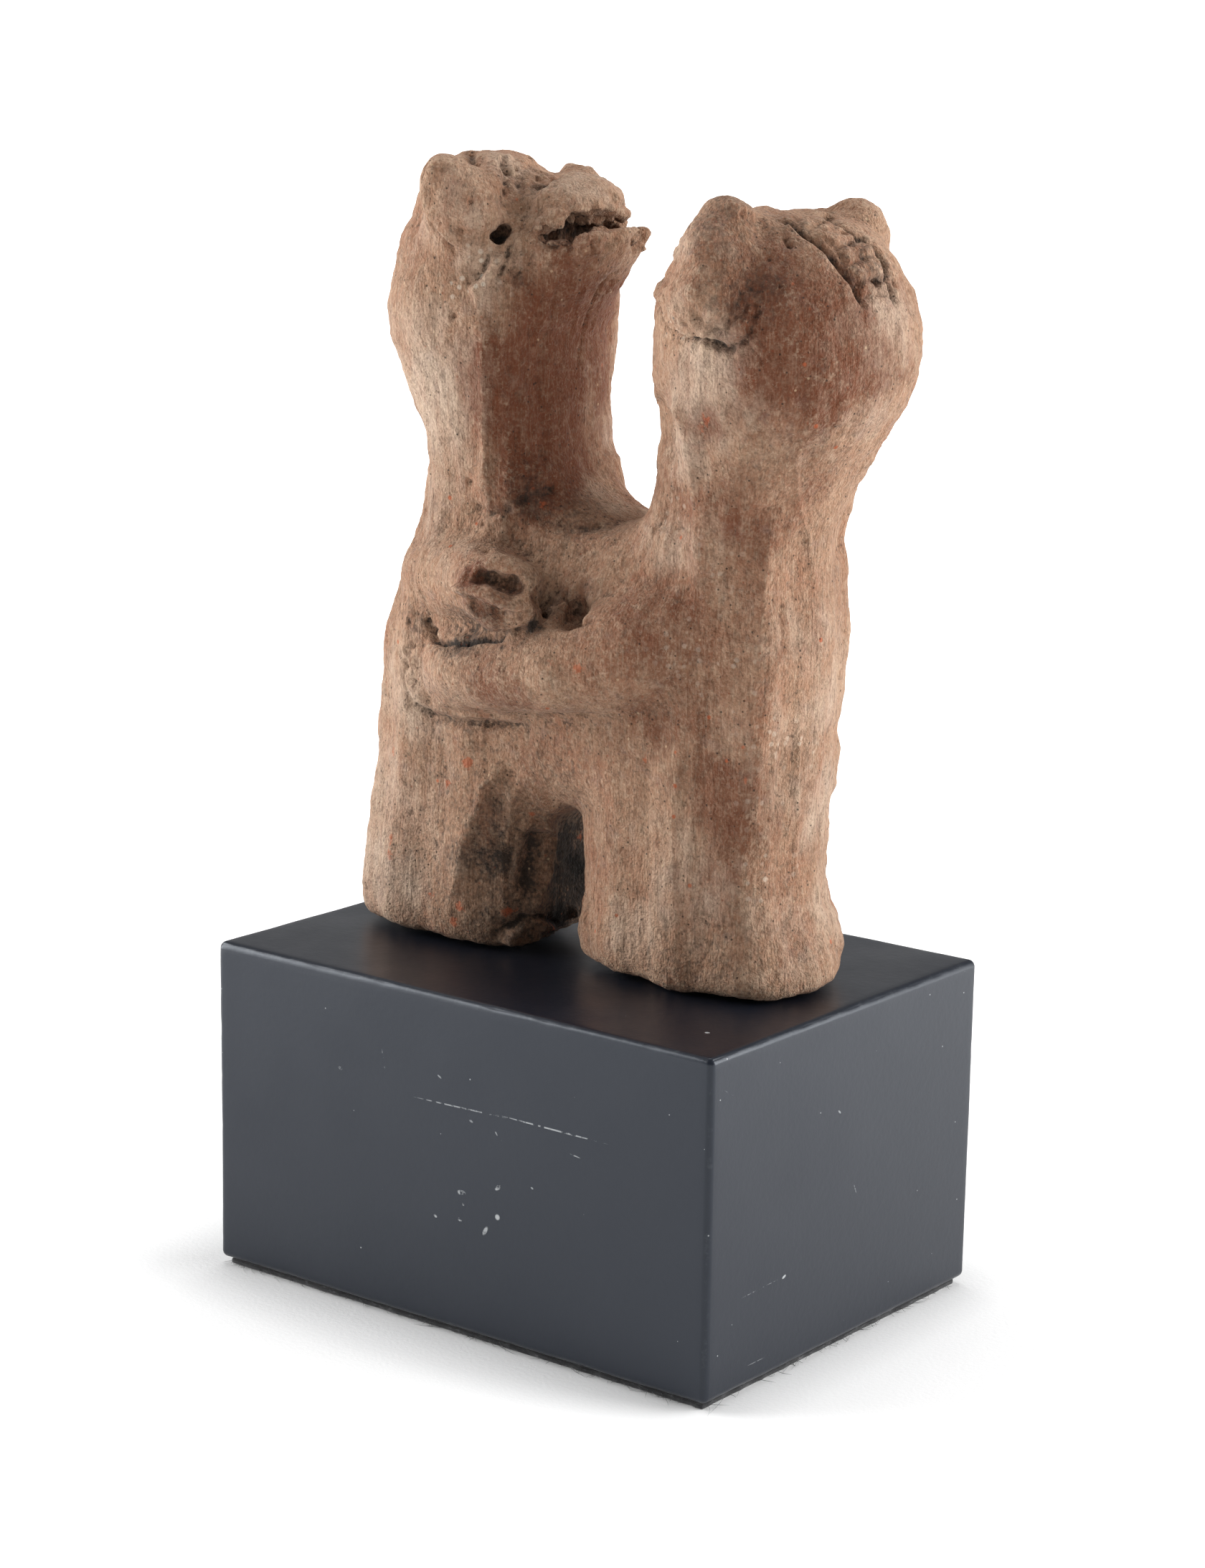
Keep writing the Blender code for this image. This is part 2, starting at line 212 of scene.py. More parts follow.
class StageLook(bpy.types.PropertyGroup):
    """Paper sweep and studio lamps"""

    paper: bpy.props.FloatVectorProperty(
        name="Paper", description="White paper sweep", subtype="COLOR",
        default=linear("#e6e6e6"), min=0, max=1,
    )
    # The sweep's glow: painted light from the card itself, not a lamp
    paper_glow: bpy.props.FloatProperty(
        name="Paper glow", description="Light of the backdrop's own lamps", default=0.95, min=0,
    )
    room: bpy.props.FloatProperty(
        name="Room light", description="Brightness of the room round the stage", default=0.26, min=0,
    )
    side_power: bpy.props.FloatProperty(
        name="Side softboxes", description="Power of each softbox at the sides",
        default=8.6, min=0, unit="POWER",
    )
    top_power: bpy.props.FloatProperty(
        name="Overhead softbox", description="Power of the softbox overhead",
        default=3.0, min=0, unit="POWER",
    )


# Marks read off the photograph. Each line: what it is, half its width and its depth in mm, how
# ragged it is, where else the same mark is made, and the pixels it passes through.
# A step stands up on the left of the way its pixels run; a crease is a sharp edge between facets.
MARKS = (
    # left head, ear and eye
    ("step", 0.35, 0.50, 0.3, "faces", ((628, 214), (606, 221), (593, 240), (588, 266), (592, 294),
                                         (605, 317), (622, 337), (636, 350))),
    ("groove", 0.45, 0.45, 0.4, "faces", ((597, 315), (614, 336), (634, 354), (652, 352))),
    ("step", 0.38, 0.62, 0.5, "faces", ((684, 350), (683, 365), (677, 382), (666, 393), (650, 402))),
    ("ridge", 0.40, 0.35, 0.4, "faces", ((698, 350), (695, 366), (687, 382), (676, 396))),
    ("groove", 0.32, 0.42, 0.3, "faces", ((712, 334), (709, 350), (703, 370), (693, 388))),
    ("ridge", 0.28, 0.30, 0.5, "faces", ((722, 330), (716, 352), (706, 376), (696, 397))),
    ("groove", 0.25, 0.28, 0.5, "faces", ((748, 345), (736, 364), (722, 384), (712, 404))),
    ("ridge", 0.45, 0.35, 0.5, "faces", ((733, 313), (744, 290), (760, 268), (779, 246))),
    # left head, torn crown
    ("step", 0.35, 0.60, 0.7, "once", ((699, 284), (697, 262), (699, 246), (695, 230), (700, 216))),
    ("groove", 0.90, 1.20, 0.4, "once", ((744, 262), (758, 251), (770, 244), (780, 238))),
    ("groove", 0.22, 0.35, 0.9, "once", ((717, 228), (722, 246), (720, 268))),
    ("ridge", 0.30, 0.35, 0.9, "once", ((708, 214), (714, 236), (712, 258), (716, 274))),
    ("ridge", 0.35, 0.45, 0.9, "once", ((728, 222), (735, 240), (732, 258), (738, 270))),
    ("groove", 0.80, 0.90, 0.4, "once", ((657, 213), (659, 224), (663, 240))),
    ("step", 0.25, 0.30, 0.9, "once", ((744, 278), (738, 262), (744, 246), (752, 236))),
    # left head, lips
    ("step", 0.35, 0.55, 0.8, "mouths", ((743, 333), (750, 321), (764, 312), (783, 302), (797, 296),
                                          (817, 296), (832, 291), (852, 288), (868, 284))),
    ("groove", 1.15, 0.95, 0.5, "mouths", ((752, 332), (775, 330), (798, 322), (822, 312),
                                            (844, 305), (864, 302))),
    ("groove", 0.75, 0.90, 0.7, "mouths", ((758, 337), (775, 340), (793, 338), (810, 328))),
    ("groove", 0.40, 0.55, 0.9, "mouths", ((748, 333), (770, 326), (788, 320), (811, 314), (832, 309),
                                            (852, 305), (869, 305))),
    ("ridge", 0.35, 0.55, 1.0, "mouths", ((762, 322), (784, 312), (808, 305), (832, 301), (858, 297))),
    ("step", 0.30, 0.40, 0.5, "mouths", ((893, 316), (874, 318), (858, 318), (841, 318), (823, 326),
                                          (808, 336), (794, 344), (782, 352))),
    ("ridge", 0.35, 0.55, 0.5, "mouths", ((776, 353), (800, 343), (822, 331), (842, 322),
                                           (866, 317))),
    ("groove", 0.30, 0.50, 0.9, "mouths", ((745, 340), (760, 343), (775, 346), (790, 340))),
    # left head, strands under the jaw
    ("ridge", 0.16, 0.28, 0.2, "once", ((823, 387), (808, 414), (802, 435), (798, 464), (791, 482))),
    ("groove", 0.24, 0.45, 0.3, "once", ((866, 372), (847, 382), (832, 402), (820, 426), (813, 452),
                                          (808, 479), (801, 517))),
    ("ridge", 0.22, 0.35, 0.3, "once", ((868, 382), (852, 394), (838, 414), (828, 438), (822, 466))),
    ("groove", 0.20, 0.30, 0.3, "once", ((876, 380), (862, 398), (850, 420), (842, 448), (838, 480))),
    ("ridge", 0.22, 0.30, 0.5, "once", ((766, 394), (760, 420), (758, 450), (750, 476))),
    ("groove", 0.22, 0.28, 0.5, "once", ((780, 392), (771, 420), (768, 452))),
    ("groove", 0.25, 0.30, 0.5, "once", ((850, 335), (832, 358), (817, 382))),
    # left neck, ridges between the blade's strokes
    ("crease", 1.30, 1.15, 0.1, "heads", ((684, 440), (677, 464), (674, 508), (676, 567), (677, 620),
                                           (678, 665), (668, 702))),
    ("crease", 0.70, 0.60, 0.3, "once", ((716, 424), (703, 440), (697, 464), (695, 486), (698, 523),
                                          (703, 552), (708, 600), (710, 650), (702, 700))),
    ("crease", 0.80, 0.30, 0.3, "once", ((736, 540), (735, 600), (736, 630), (732, 664))),
    ("groove", 0.50, 0.25, 0.3, "once", ((760, 470), (757, 540), (762, 610), (760, 660))),
    ("ridge", 0.14, 0.22, 0.2, "once", ((787, 570), (800, 561), (813, 551))),
    ("ridge", 0.14, 0.18, 0.2, "once", ((781, 536), (791, 556))),
    ("groove", 0.70, 0.55, 0.7, "once", ((648, 706), (675, 713), (700, 716), (726, 697), (760, 684),
                                          (787, 680))),
    ("groove", 1.20, 0.50, 0.4, "once", ((722, 706), (770, 724), (810, 734), (850, 731), (884, 720))),
    # the curled hand and what lies round it
    ("ridge", 0.50, 0.95, 0.2, "arms", ((634, 823), (655, 821), (680, 829), (705, 842), (738, 846))),
    ("groove", 0.80, 0.45, 0.3, "arms", ((748, 800), (752, 830), (750, 858), (736, 878))),
    ("groove", 0.50, 1.20, 0.35, "arms", ((588, 878), (606, 890), (630, 895), (660, 893), (681, 890),
                                           (706, 882), (732, 875), (748, 874))),
    ("groove", 0.40, 0.50, 0.4, "arms", ((788, 877), (812, 870), (834, 863))),
    ("groove", 0.45, 0.60, 0.7, "once", ((566, 862), (571, 872))),
    ("groove", 0.55, 0.70, 0.7, "once", ((592, 862), (600, 874), (608, 884))),
    # the long arm
    ("step", 0.80, 0.90, 0.2, "arms", ((566, 948), (578, 974), (606, 992), (650, 1001), (700, 1004),
                                        (744, 1006))),
    ("step", 0.35, 0.40, 0.9, "arms", ((586, 893), (574, 918), (567, 944), (576, 968))),
    # right body, ridges between the blade's strokes
    ("crease", 2.20, 0.60, 0.15, "once", ((1066, 1350), (1070, 1280), (1064, 1210), (1056, 1145),
                                          (1056, 1080), (1068, 1020), (1072, 960), (1072, 900),
                                          (1070, 840), (1068, 790), (1072, 720))),
    ("ridge", 0.30, 0.22, 0.4, "once", ((1110, 1240), (1112, 1155), (1112, 1080), (1113, 1005))),
    ("groove", 0.60, 0.30, 0.4, "once", ((1090, 1000), (1092, 900), (1094, 820))),
    ("ridge", 0.35, 0.30, 0.3, "once", ((1110, 620), (1114, 690), (1130, 760), (1140, 840))),
    ("groove", 0.45, 0.22, 0.4, "once", ((946, 560), (942, 620), (930, 690), (905, 760), (872, 810))),
    ("ridge", 0.30, 0.20, 0.4, "once", ((962, 600), (958, 660), (944, 720), (918, 780))),
    ("groove", 0.14, 0.20, 0.4, "once", ((975, 1055), (992, 1059), (1011, 1060))),
    # left leg: hollow, leaf-shaped facet, torn foot
    ("crease", 1.20, 1.20, 0.2, "once", ((712, 1070), (676, 1090), (664, 1130), (648, 1170),
                                          (640, 1215), (628, 1260))),
    ("crease", 0.80, 0.70, 0.3, "once", ((722, 1080), (712, 1130), (706, 1180), (702, 1230),
                                          (700, 1280))),
    ("crease", 0.70, 1.40, 0.2, "once", ((747, 1132), (757, 1135), (765, 1165), (763, 1190),
                                          (762, 1215), (752, 1240), (732, 1280))),
    ("crease", 0.50, 0.80, 0.3, "once", ((745, 1134), (727, 1162), (720, 1195), (715, 1225),
                                          (712, 1250))),
    ("groove", 1.50, 0.70, 0.2, "once", ((748, 1150), (743, 1180), (739, 1210), (730, 1245))),
    ("groove", 0.80, 0.60, 0.3, "once", ((716, 1160), (709, 1190), (707, 1225), (710, 1252))),
    ("crease", 0.50, 0.40, 0.3, "once", ((715, 1060), (735, 1090), (752, 1108), (772, 1128))),
    ("step", 0.50, 0.80, 0.9, "once", ((777, 1300), (768, 1286), (745, 1280), (728, 1284),
                                        (704, 1296), (688, 1312))),
    # right head, grooves and rungs on the crown
    ("groove", 0.34, 1.15, 0.5, "once", ((1076, 308), (1094, 309), (1108, 318), (1123, 331),
                                          (1143, 343), (1160, 361), (1179, 384), (1192, 403),
                                          (1201, 421), (1207, 436))),
    ("step", 0.40, 0.35, 0.6, "once", ((1100, 304), (1118, 314), (1132, 325), (1152, 337),
                                         (1168, 354), (1187, 378), (1201, 400), (1209, 420))),
    ("groove", 0.48, 1.50, 0.5, "once", ((1149, 302), (1164, 309), (1177, 318), (1191, 328),
                                          (1208, 336), (1223, 351), (1233, 371), (1238, 395),
                                          (1245, 412), (1252, 436))),
    ("groove", 0.40, 0.90, 0.6, "once", ((1241, 355), (1252, 368), (1260, 384))),
    ("groove", 0.40, 0.60, 0.8, "once", ((1128, 328), (1140, 316), (1152, 307))),
    ("groove", 0.32, 0.45, 0.8, "once", ((1160, 352), (1180, 341), (1202, 334))),
    ("groove", 0.35, 0.50, 0.8, "once", ((1180, 372), (1202, 362), (1224, 358))),
    ("groove", 0.35, 0.50, 0.8, "once", ((1192, 396), (1212, 390), (1234, 388))),
    ("groove", 0.30, 0.40, 0.8, "once", ((1202, 416), (1220, 412), (1238, 412))),
    ("groove", 0.80, 1.10, 0.4, "once", ((1156, 294), (1160, 300), (1166, 310))),
    # right head, the ear's ledge
    ("step", 0.60, 0.75, 0.6, "once", ((920, 410), (927, 431), (938, 453), (960, 466), (990, 468),
                                        (1004, 475), (1021, 479), (1039, 468), (1047, 440),
                                        (1065, 414))),
    ("groove", 0.50, 0.45, 0.5, "once", ((952, 470), (980, 472), (1000, 475), (1014, 486), (1032, 486))),
    ("ridge", 0.80, 0.50, 0.3, "once", ((1004, 282), (1030, 292), (1056, 304), (1078, 318))),
    ("groove", 0.30, 0.70, 0.5, "once", ((1093, 330), (1098, 340), (1103, 347))),
)

# Broad forms that the CAD solid leaves out, in the same terms
FORMS = (
    ("ridge", 2.60, 0.90, 0.1, "faces", ((672, 236), (676, 264), (672, 292), (660, 326))),
    ("groove", 4.00, 1.10, 0.1, "heads", ((748, 440), (740, 520), (738, 600), (742, 660))),
    ("ridge", 1.80, 0.25, 0.4, "once", ((948, 345), (930, 370), (924, 400), (926, 430))),
    ("ridge", 6.00, 0.65, 0.0, "once", ((545, 820), (538, 960), (532, 1080), (515, 1180), (505, 1260))),
    ("ridge", 5.00, 0.55, 0.0, "once", ((572, 296), (560, 330), (552, 380), (545, 430), (545, 500))),
    ("ridge", 4.00, 0.70, 0.0, "once", ((1160, 1250), (1185, 1290), (1215, 1318), (1232, 1340))),
    ("ridge", 4.00, 0.70, 0.0, "once", ((1172, 1020), (1166, 1065), (1161, 1110))),
    ("groove", 4.00, 0.60, 0.0, "heads", ((588, 570), (594, 620), (588, 690), (579, 750), (566, 785))),
    ("groove", 3.00, 0.80, 0.0, "once", ((920, 560), (922, 600), (918, 645))),
    ("groove", 3.50, 0.60, 0.0, "once", ((1215, 640), (1197, 690), (1186, 730), (1183, 780))),
    ("ridge", 3.40, 1.00, 0.1, "arms", ((600, 930), (650, 945), (720, 950), (790, 950))),
    ("ridge", 3.20, 2.10, 0.1, "arms", ((772, 840), (788, 851), (803, 859))),
    ("groove", 1.20, 0.50, 0.3, "arms", ((640, 812), (656, 802), (674, 800), (694, 806), (714, 818),
                                          (730, 832))),
    ("groove", 0.85, 0.60, 0.4, "arms", ((630, 834), (642, 840), (656, 843), (672, 842))),
    ("groove", 1.40, 1.60, 0.0, "once", ((893, 312), (893, 330), (890, 346))),
    ("groove", 4.00, 0.90, 0.1, "once", ((1062, 292), (1100, 292), (1146, 292))),
    ("groove", 4.00, 1.20, 0.0, "once", ((718, 206), (742, 213), (760, 220), (780, 230), (794, 240))),
    ("groove", 2.60, 0.60, 0.0, "once", ((785, 228), (805, 222), (828, 234))),
    ("ridge", 0.70, 0.90, 0.5, "once", ((797, 1260), (797, 1280))),
    ("ridge", 3.20, 0.60, 0.2, "once", ((975, 300), (975, 360), (990, 420))),
)

# Pits pressed or fallen out: pixel, radius and depth in mm
PITS = (
    ((692, 333), 1.10, 1.60), ((695, 319), 1.10, 1.30), ((756, 254), 1.15, 2.4),
    ((767, 247), 1.10, 2.2), ((632, 441), 0.45, 0.45), ((1177, 325), 0.50, 0.70),
    ((1221, 392), 0.75, 0.90), ((1248, 396), 0.60, 0.70), ((1033, 299), 0.40, 0.50),
    ((1072, 362), 0.28, 0.40), ((1054, 421), 0.35, 0.45), ((1088, 399), 0.28, 0.35),
    ((656, 283), 0.28, 0.35), ((684, 281), 0.26, 0.35), ((644, 322), 0.30, 0.35),
    ((612, 292), 0.25, 0.30), ((700, 372), 0.45, 0.35), ((656, 672), 0.50, 0.40),
)

# Torn or crumbling places: pixel, radius in mm, strength, where else
TORN = (
    ((850, 300), 2.6, 1.0, "mouths"), ((815, 312), 3.0, 1.0, "mouths"),
    ((775, 325), 2.8, 0.9, "mouths"), ((885, 320), 1.8, 0.7, "mouths"),
    ((715, 240), 3.4, 0.9, "once"), ((750, 240), 3.0, 1.0, "once"),
    ((682, 235), 3.0, 0.6, "once"), ((700, 372), 3.0, 0.5, "faces"),
    ((1205, 345), 4.2, 0.8, "once"), ((1112, 304), 3.2, 0.7, "once"),
    ((1225, 395), 3.4, 0.7, "once"), ((1140, 315), 3.4, 0.7, "once"),
    ((985, 455), 3.4, 1.3, "once"), ((1030, 450), 3.4, 1.2, "once"),
    ((948, 440), 2.6, 1.0, "once"), ((775, 845), 3.6, 0.75, "arms"),
    ((672, 803), 3.0, 0.45, "arms"), ((640, 890), 4.0, 0.6, "arms"),
    ((575, 930), 2.6, 0.8, "arms"), ((720, 700), 3.6, 0.5, "once"),
    ((700, 716), 3.0, 0.6, "once"), ((745, 1298), 4.0, 0.9, "once"),
    ((940, 350), 3.2, 0.6, "once"), ((934, 400), 2.6, 0.6, "once"),
    ((812, 1268), 2.4, 0.9, "once"),
)

# Soot and old dirt, with painted shade inside the arch between the feet (the strong spots near x 790 to
# 800, y 1150 to 1270): pixel, radius in mm, strength, where else
SOOT_AND_SHADE = (
    ((693, 329), 1.5, 1.3, "faces"), ((800, 316), 3.0, 0.32, "mouths"),
    ((845, 304), 2.0, 0.35, "mouths"), ((759, 251), 1.9, 0.8, "once"),
    ((703, 250), 1.8, 0.4, "once"), ((705, 372), 3.0, 0.35, "faces"),
    ((645, 270), 6.0, 0.12, "faces"), ((1002, 292), 5.0, 0.42, "once"),
    ((1000, 345), 4.0, 0.30, "once"), ((1030, 412), 4.2, 0.45, "once"),
    ((1008, 458), 3.6, 0.28, "once"), ((1076, 395), 3.4, 0.35, "once"),
    ((1210, 370), 5.0, 0.35, "once"), ((1110, 315), 3.0, 0.35, "once"),
    ((775, 843), 4.0, 0.30, "arms"), ((745, 815), 2.4, 0.4, "arms"),
    ((740, 872), 1.4, 0.9, "arms"), ((650, 893), 5.0, 0.65, "arms"),
    ((580, 868), 3.2, 0.45, "once"), ((682, 809), 1.4, 0.8, "arms"),
    ((650, 838), 2.0, 0.5, "arms"), ((690, 858), 5.0, 0.45, "arms"),
    ((735, 690), 4.0, 0.5, "once"), ((800, 730), 7.0, 0.30, "once"),
    ((700, 1110), 4.5, 0.50, "once"), ((665, 1165), 3.6, 0.50, "once"),
    ((690, 1230), 5.0, 0.45, "once"), ((640, 1235), 6.0, 0.35, "once"),
    ((600, 1290), 8.0, 0.25, "once"), ((790, 1190), 5.0, 1.2, "once"),
    ((790, 1230), 5.0, 1.3, "once"), ((785, 1270), 5.0, 1.2, "once"),
    ((800, 1215), 6.0, 1.3, "once"), ((740, 1205), 3.4, 0.55, "once"),
    ((700, 1190), 8.0, 0.72, "once"), ((715, 1260), 7.0, 0.70, "once"),
    ((760, 1180), 4.0, 0.7, "once"), ((742, 1165), 2.4, 0.35, "once"),
    ((800, 1160), 3.0, 0.9, "once"), ((798, 1245), 4.0, 1.3, "once"),
    ((695, 1120), 4.5, 0.55, "once"), ((690, 900), 5.0, 0.30, "arms"),
    ((560, 1180), 8.0, 0.25, "once"), ((640, 1010), 9.0, 0.25, "once"),
    ((770, 1060), 7.0, 0.25, "once"), ((1000, 1350), 9.0, 0.20, "once"),
    ((1160, 1350), 6.0, 0.25, "once"), ((790, 1150), 4.0, 0.6, "once"),
)

# Redder and darker skin, partly painted shade on the left neck's front (the spots near x 750 to 785, y
# 440 to 640): pixel, radius in mm, strength, where else
RED_AND_SHADE = (
    ((680, 860), 5.0, 0.6, "arms"), ((655, 799), 2.6, 0.9, "arms"),
    ((718, 820), 2.2, 0.7, "arms"), ((750, 560), 8.0, 1.4, "once"),
    ((785, 440), 7.0, 0.9, "faces"), ((755, 640), 7.0, 1.3, "once"),
    ((750, 590), 9.0, 0.55, "sides"), ((1110, 490), 10.0, 0.95, "once"),
    ((1150, 530), 9.0, 0.85, "once"), ((1050, 520), 5.0, 0.6, "once"),
    ((1060, 600), 5.0, 0.40, "once"), ((1020, 860), 9.0, 0.38, "once"),
    ((990, 980), 9.0, 0.36, "once"), ((880, 900), 7.0, 0.30, "once"),
    ((800, 920), 5.0, 0.28, "arms"), ((1010, 1100), 9.0, 0.34, "once"),
    ((690, 960), 6.0, 0.30, "arms"), ((985, 586), 3.0, 0.7, "once"),
    ((930, 1180), 8.0, 0.25, "once"), ((700, 690), 4.0, 0.5, "once"),
    ((1120, 660), 9.0, 0.45, "once"), ((1060, 740), 8.0, 0.42, "once"),
    ((1000, 920), 8.0, 0.30, "once"), ((900, 1000), 8.0, 0.35, "once"),
    ((1080, 440), 5.0, 0.5, "once"),
)

# Paler, dustier skin: pixel, radius in mm, strength, where else
PALE = (
    ((570, 430), 11.0, 0.42, "sides"), ((600, 560), 10.0, 0.85, "sides"),
    ((600, 700), 8.0, 0.60, "once"), ((560, 960), 9.0, 0.70, "once"),
    ((540, 1080), 9.0, 0.75, "once"), ((860, 600), 6.0, 0.45, "once"),
    ((530, 1200), 9.0, 0.80, "once"), ((540, 1300), 7.0, 0.50, "once"),
    ((785, 845), 3.4, 0.5, "once"), ((1160, 960), 7.0, 0.50, "once"),
    ((1150, 1120), 8.0, 0.75, "once"), ((1150, 1250), 7.0, 0.70, "once"),
    ((700, 225), 4.0, 0.70, "once"), ((640, 270), 5.0, 0.30, "faces"),
    ((980, 560), 7.0, 0.75, "once"), ((800, 260), 5.0, 0.35, "once"),
    ((1180, 440), 5.0, 0.45, "once"), ((600, 1160), 7.0, 0.45, "once"),
    ((955, 1250), 8.0, 0.60, "once"), ((1250, 450), 6.0, 0.70, "once"),
    ((940, 760), 6.0, 0.40, "once"), ((955, 620), 6.0, 0.75, "once"),
    ((795, 848), 3.5, 0.50, "arms"), ((565, 1150), 9.0, 0.35, "once"),
    ((990, 500), 6.0, 0.75, "once"), ((940, 430), 4.0, 0.60, "once"),
    ((945, 350), 4.0, 0.80, "once"), ((1230, 480), 6.0, 0.50, "once"),
    ((1230, 560), 5.0, 0.40, "once"), ((1130, 900), 8.0, 0.40, "once"),
    ((1120, 1100), 10.0, 0.45, "once"), ((1100, 1280), 9.0, 0.45, "once"),
    ((840, 700), 6.0, 0.30, "once"), ((900, 1290), 7.0, 0.45, "once"),
    ((860, 1180), 6.0, 0.30, "once"), ((640, 760), 5.0, 0.35, "once"),
    ((820, 255), 5.0, 0.50, "faces"), ((680, 390), 5.0, 0.45, "faces"),
)

# White lime: pixel, radius in mm, strength
CHALK = (
    ((1080, 1028), 3.6, 0.35), ((1120, 1030), 4.0, 0.35), ((1060, 1120), 4.0, 0.25),
    ((1070, 1230), 5.0, 0.40), ((660, 372), 2.6, 0.8), ((676, 412), 2.4, 0.8),
    ((628, 398), 2.4, 0.6), ((936, 716), 2.8, 0.3), ((955, 700), 2.2, 0.3),
    ((960, 900), 5.0, 0.25), ((1000, 790), 5.0, 0.2), ((1020, 950), 5.0, 0.3),
    ((945, 455), 2.6, 0.5),
)

# Large lumps of crushed brick: pixel, radius in mm, strength
GROG = (
    ((652, 1063), 0.75, 1.0), ((622, 1092), 0.55, 0.9), ((640, 1263), 0.70, 0.9),
    ((707, 1269), 0.85, 1.0), ((631, 1285), 0.75, 0.9), ((742, 1132), 0.60, 0.8),
    ((807, 1165), 0.55, 0.8), ((767, 1292), 0.90, 0.8), ((552, 1048), 0.60, 0.8),
    ((546, 1170), 0.70, 0.6), ((545, 1192), 0.70, 0.6), ((598, 1247), 0.60, 0.7),
    ((758, 704), 0.55, 0.8), ((782, 712), 0.45, 0.7), ((806, 932), 0.90, 0.6),
    ((770, 925), 0.70, 0.5), ((985, 586), 0.80, 0.6), ((978, 600), 0.70, 0.5),
    ((744, 1166), 0.55, 0.5), ((640, 292), 0.35, 0.6), ((668, 300), 0.30, 0.6),
    ((1040, 1090), 0.45, 0.6), ((900, 1060), 0.50, 0.6), ((668, 985), 0.50, 0.5),
)

# Scratches and chips on the block: the axis its face looks along, the pixels where the mark starts
# and ends, half its width in mm, how broken it is, and how strongly it shows
BLOCK_MARKS = (
    (1, (572, 1528), (712, 1560), 0.11, 0.46, 0.60), (1, (690, 1553), (850, 1596), 0.12, 0.44, 0.75),
    (1, (794, 1608), (810, 1615), 0.09, 0.36, 0.60), (1, (532, 1460), (538, 1504), 0.14, 0.50, 0.40),
    (1, (637, 1661), (650, 1664), 0.36, 0.46, 0.80), (1, (645, 1676), (649, 1684), 0.20, 0.42, 0.80),
    (1, (605, 1693), (610, 1697), 0.20, 0.38, 0.90), (1, (638, 1698), (645, 1702), 0.26, 0.44, 0.80),
    (1, (690, 1659), (699, 1652), 0.32, 0.44, 0.85), (1, (690, 1695), (697, 1699), 0.42, 0.46, 0.90),
    (1, (673, 1722), (680, 1710), 0.32, 0.40, 0.75), (1, (740, 1655), (744, 1658), 0.14, 0.36, 0.60),
    (1, (690, 1576), (694, 1584), 0.12, 0.40, 0.50), (1, (654, 1561), (660, 1565), 0.16, 0.44, 0.50),
    (1, (610, 1498), (616, 1504), 0.14, 0.40, 0.55), (1, (470, 1480), (477, 1492), 0.40, 0.52, 0.35),
    (0, (1090, 1783), (1096, 1777), 0.20, 0.34, 0.90), (0, (1030, 1812), (1088, 1782), 0.07, 0.46, 0.45),
    (0, (1168, 1548), (1172, 1552), 0.15, 0.36, 0.60), (0, (1190, 1650), (1194, 1664), 0.10, 0.44, 0.45),
    (0, (1040, 1905), (1066, 1892), 0.06, 0.40, 0.40), (0, (1010, 1520), (1034, 1534), 0.07, 0.50, 0.30),
    (2, (982, 1439), (990, 1440), 0.30, 0.30, 1.00), (2, (1130, 1398), (1160, 1396), 0.30, 0.54, 0.40),
)

# Middle lines of the two bodies, and the line that parts them: height and place along X, in mm
LEFT_MIDDLE = (
    (0, 20, 35, 47, 60, 65, 75, 85, 97), (-21.5, -19, -18, -16.5, -13.5, -14, -16.3, -16.3, -17)
)
RIGHT_MIDDLE = (
    (0, 20, 36, 50, 61, 69, 79, 88, 94), (16.8, 16.2, 18.2, 20.3, 22.6, 25.2, 26.6, 26.2, 26.0)
)
PARTING = ((0, 20, 50, 100), (-3, 2, 5, 5))
BLADE_STROKES = 25

# Where the blade's strokes fade, in mm: above the feet, below the heads, and the line of the
# lower arm in pixels, round which they stop
FEET_FADE = (1.5, 7)
HEADS_FADE = (70, 80)
BELLY_FADE = (22, 30)
BELLY_MIDDLE, BELLY_HALF = 2, 5
ARM_LINE = ((600, 930), (700, 950), (800, 950), (880, 940))
ARM_REACH = 6.5

# How the skin is worked, in mm: the size and depth of the fingers' dents, the spacing and depth
# of fallen grains, the heights between which more grains are missing, and a pit's floor and rim
# as shares of its radius
DENT_SIZE, DENT_DEPTH = 2.6, 0.11
GRAIN_SPACING, GRAIN_DEPTH = 2.3, 0.40
HEADS_START, HEADS_FULL = 72, 84
PIT_FLOOR, PIT_RIM = 0.55, 1.2

# Rounds of smoothing: after the remesh, for the near mean and for the wide mean
SETTLE_ROUNDS, NEAR_ROUNDS, WIDE_ROUNDS = 14, 4, 26

# How far from the camera the clay is, at least and at most, in mm
CLAY_NEAREST, CLAY_FARTHEST = 380, 560

# A mark reaches this many of its own half widths, and fades where the clay lies off its level by
# a height in mm that grows with its reach
MARK_REACH = 7
LEVEL_HEIGHT, LEVEL_GROWTH = 2.5, 0.12

# The right head is the left one turned half round, lower; the far arms are the near arms turned
HEAD_TURN, HEAD_DROP = (6.6, 0.5), 5.6
ARM_TURN = (1.5, 0.5)
ELSEWHERE = {
    "once": (),
    "arms": ("other arms",),
    "sides": ("other side",),
    "heads": ("other side", "other head", "other head and side"),
    "faces": ("other side", "other head"),
    "mouths": ("other side", "other head", "other head and side"),
}


def copied(points, where):
    """The same marks at another place: over the middle plane of the heads, or half round."""
    points = np.array(points, float)
    if where.endswith("side"):
        points[..., 1] *= -1
    if where.startswith("other head"):
        points[..., :2] = 2 * np.array(HEAD_TURN) - points[..., :2]
        points[..., 2] -= HEAD_DROP
    if where == "other arms":
        points[..., :2] = 2 * np.array(ARM_TURN) - points[..., :2]
    return points


# Noise, in mm


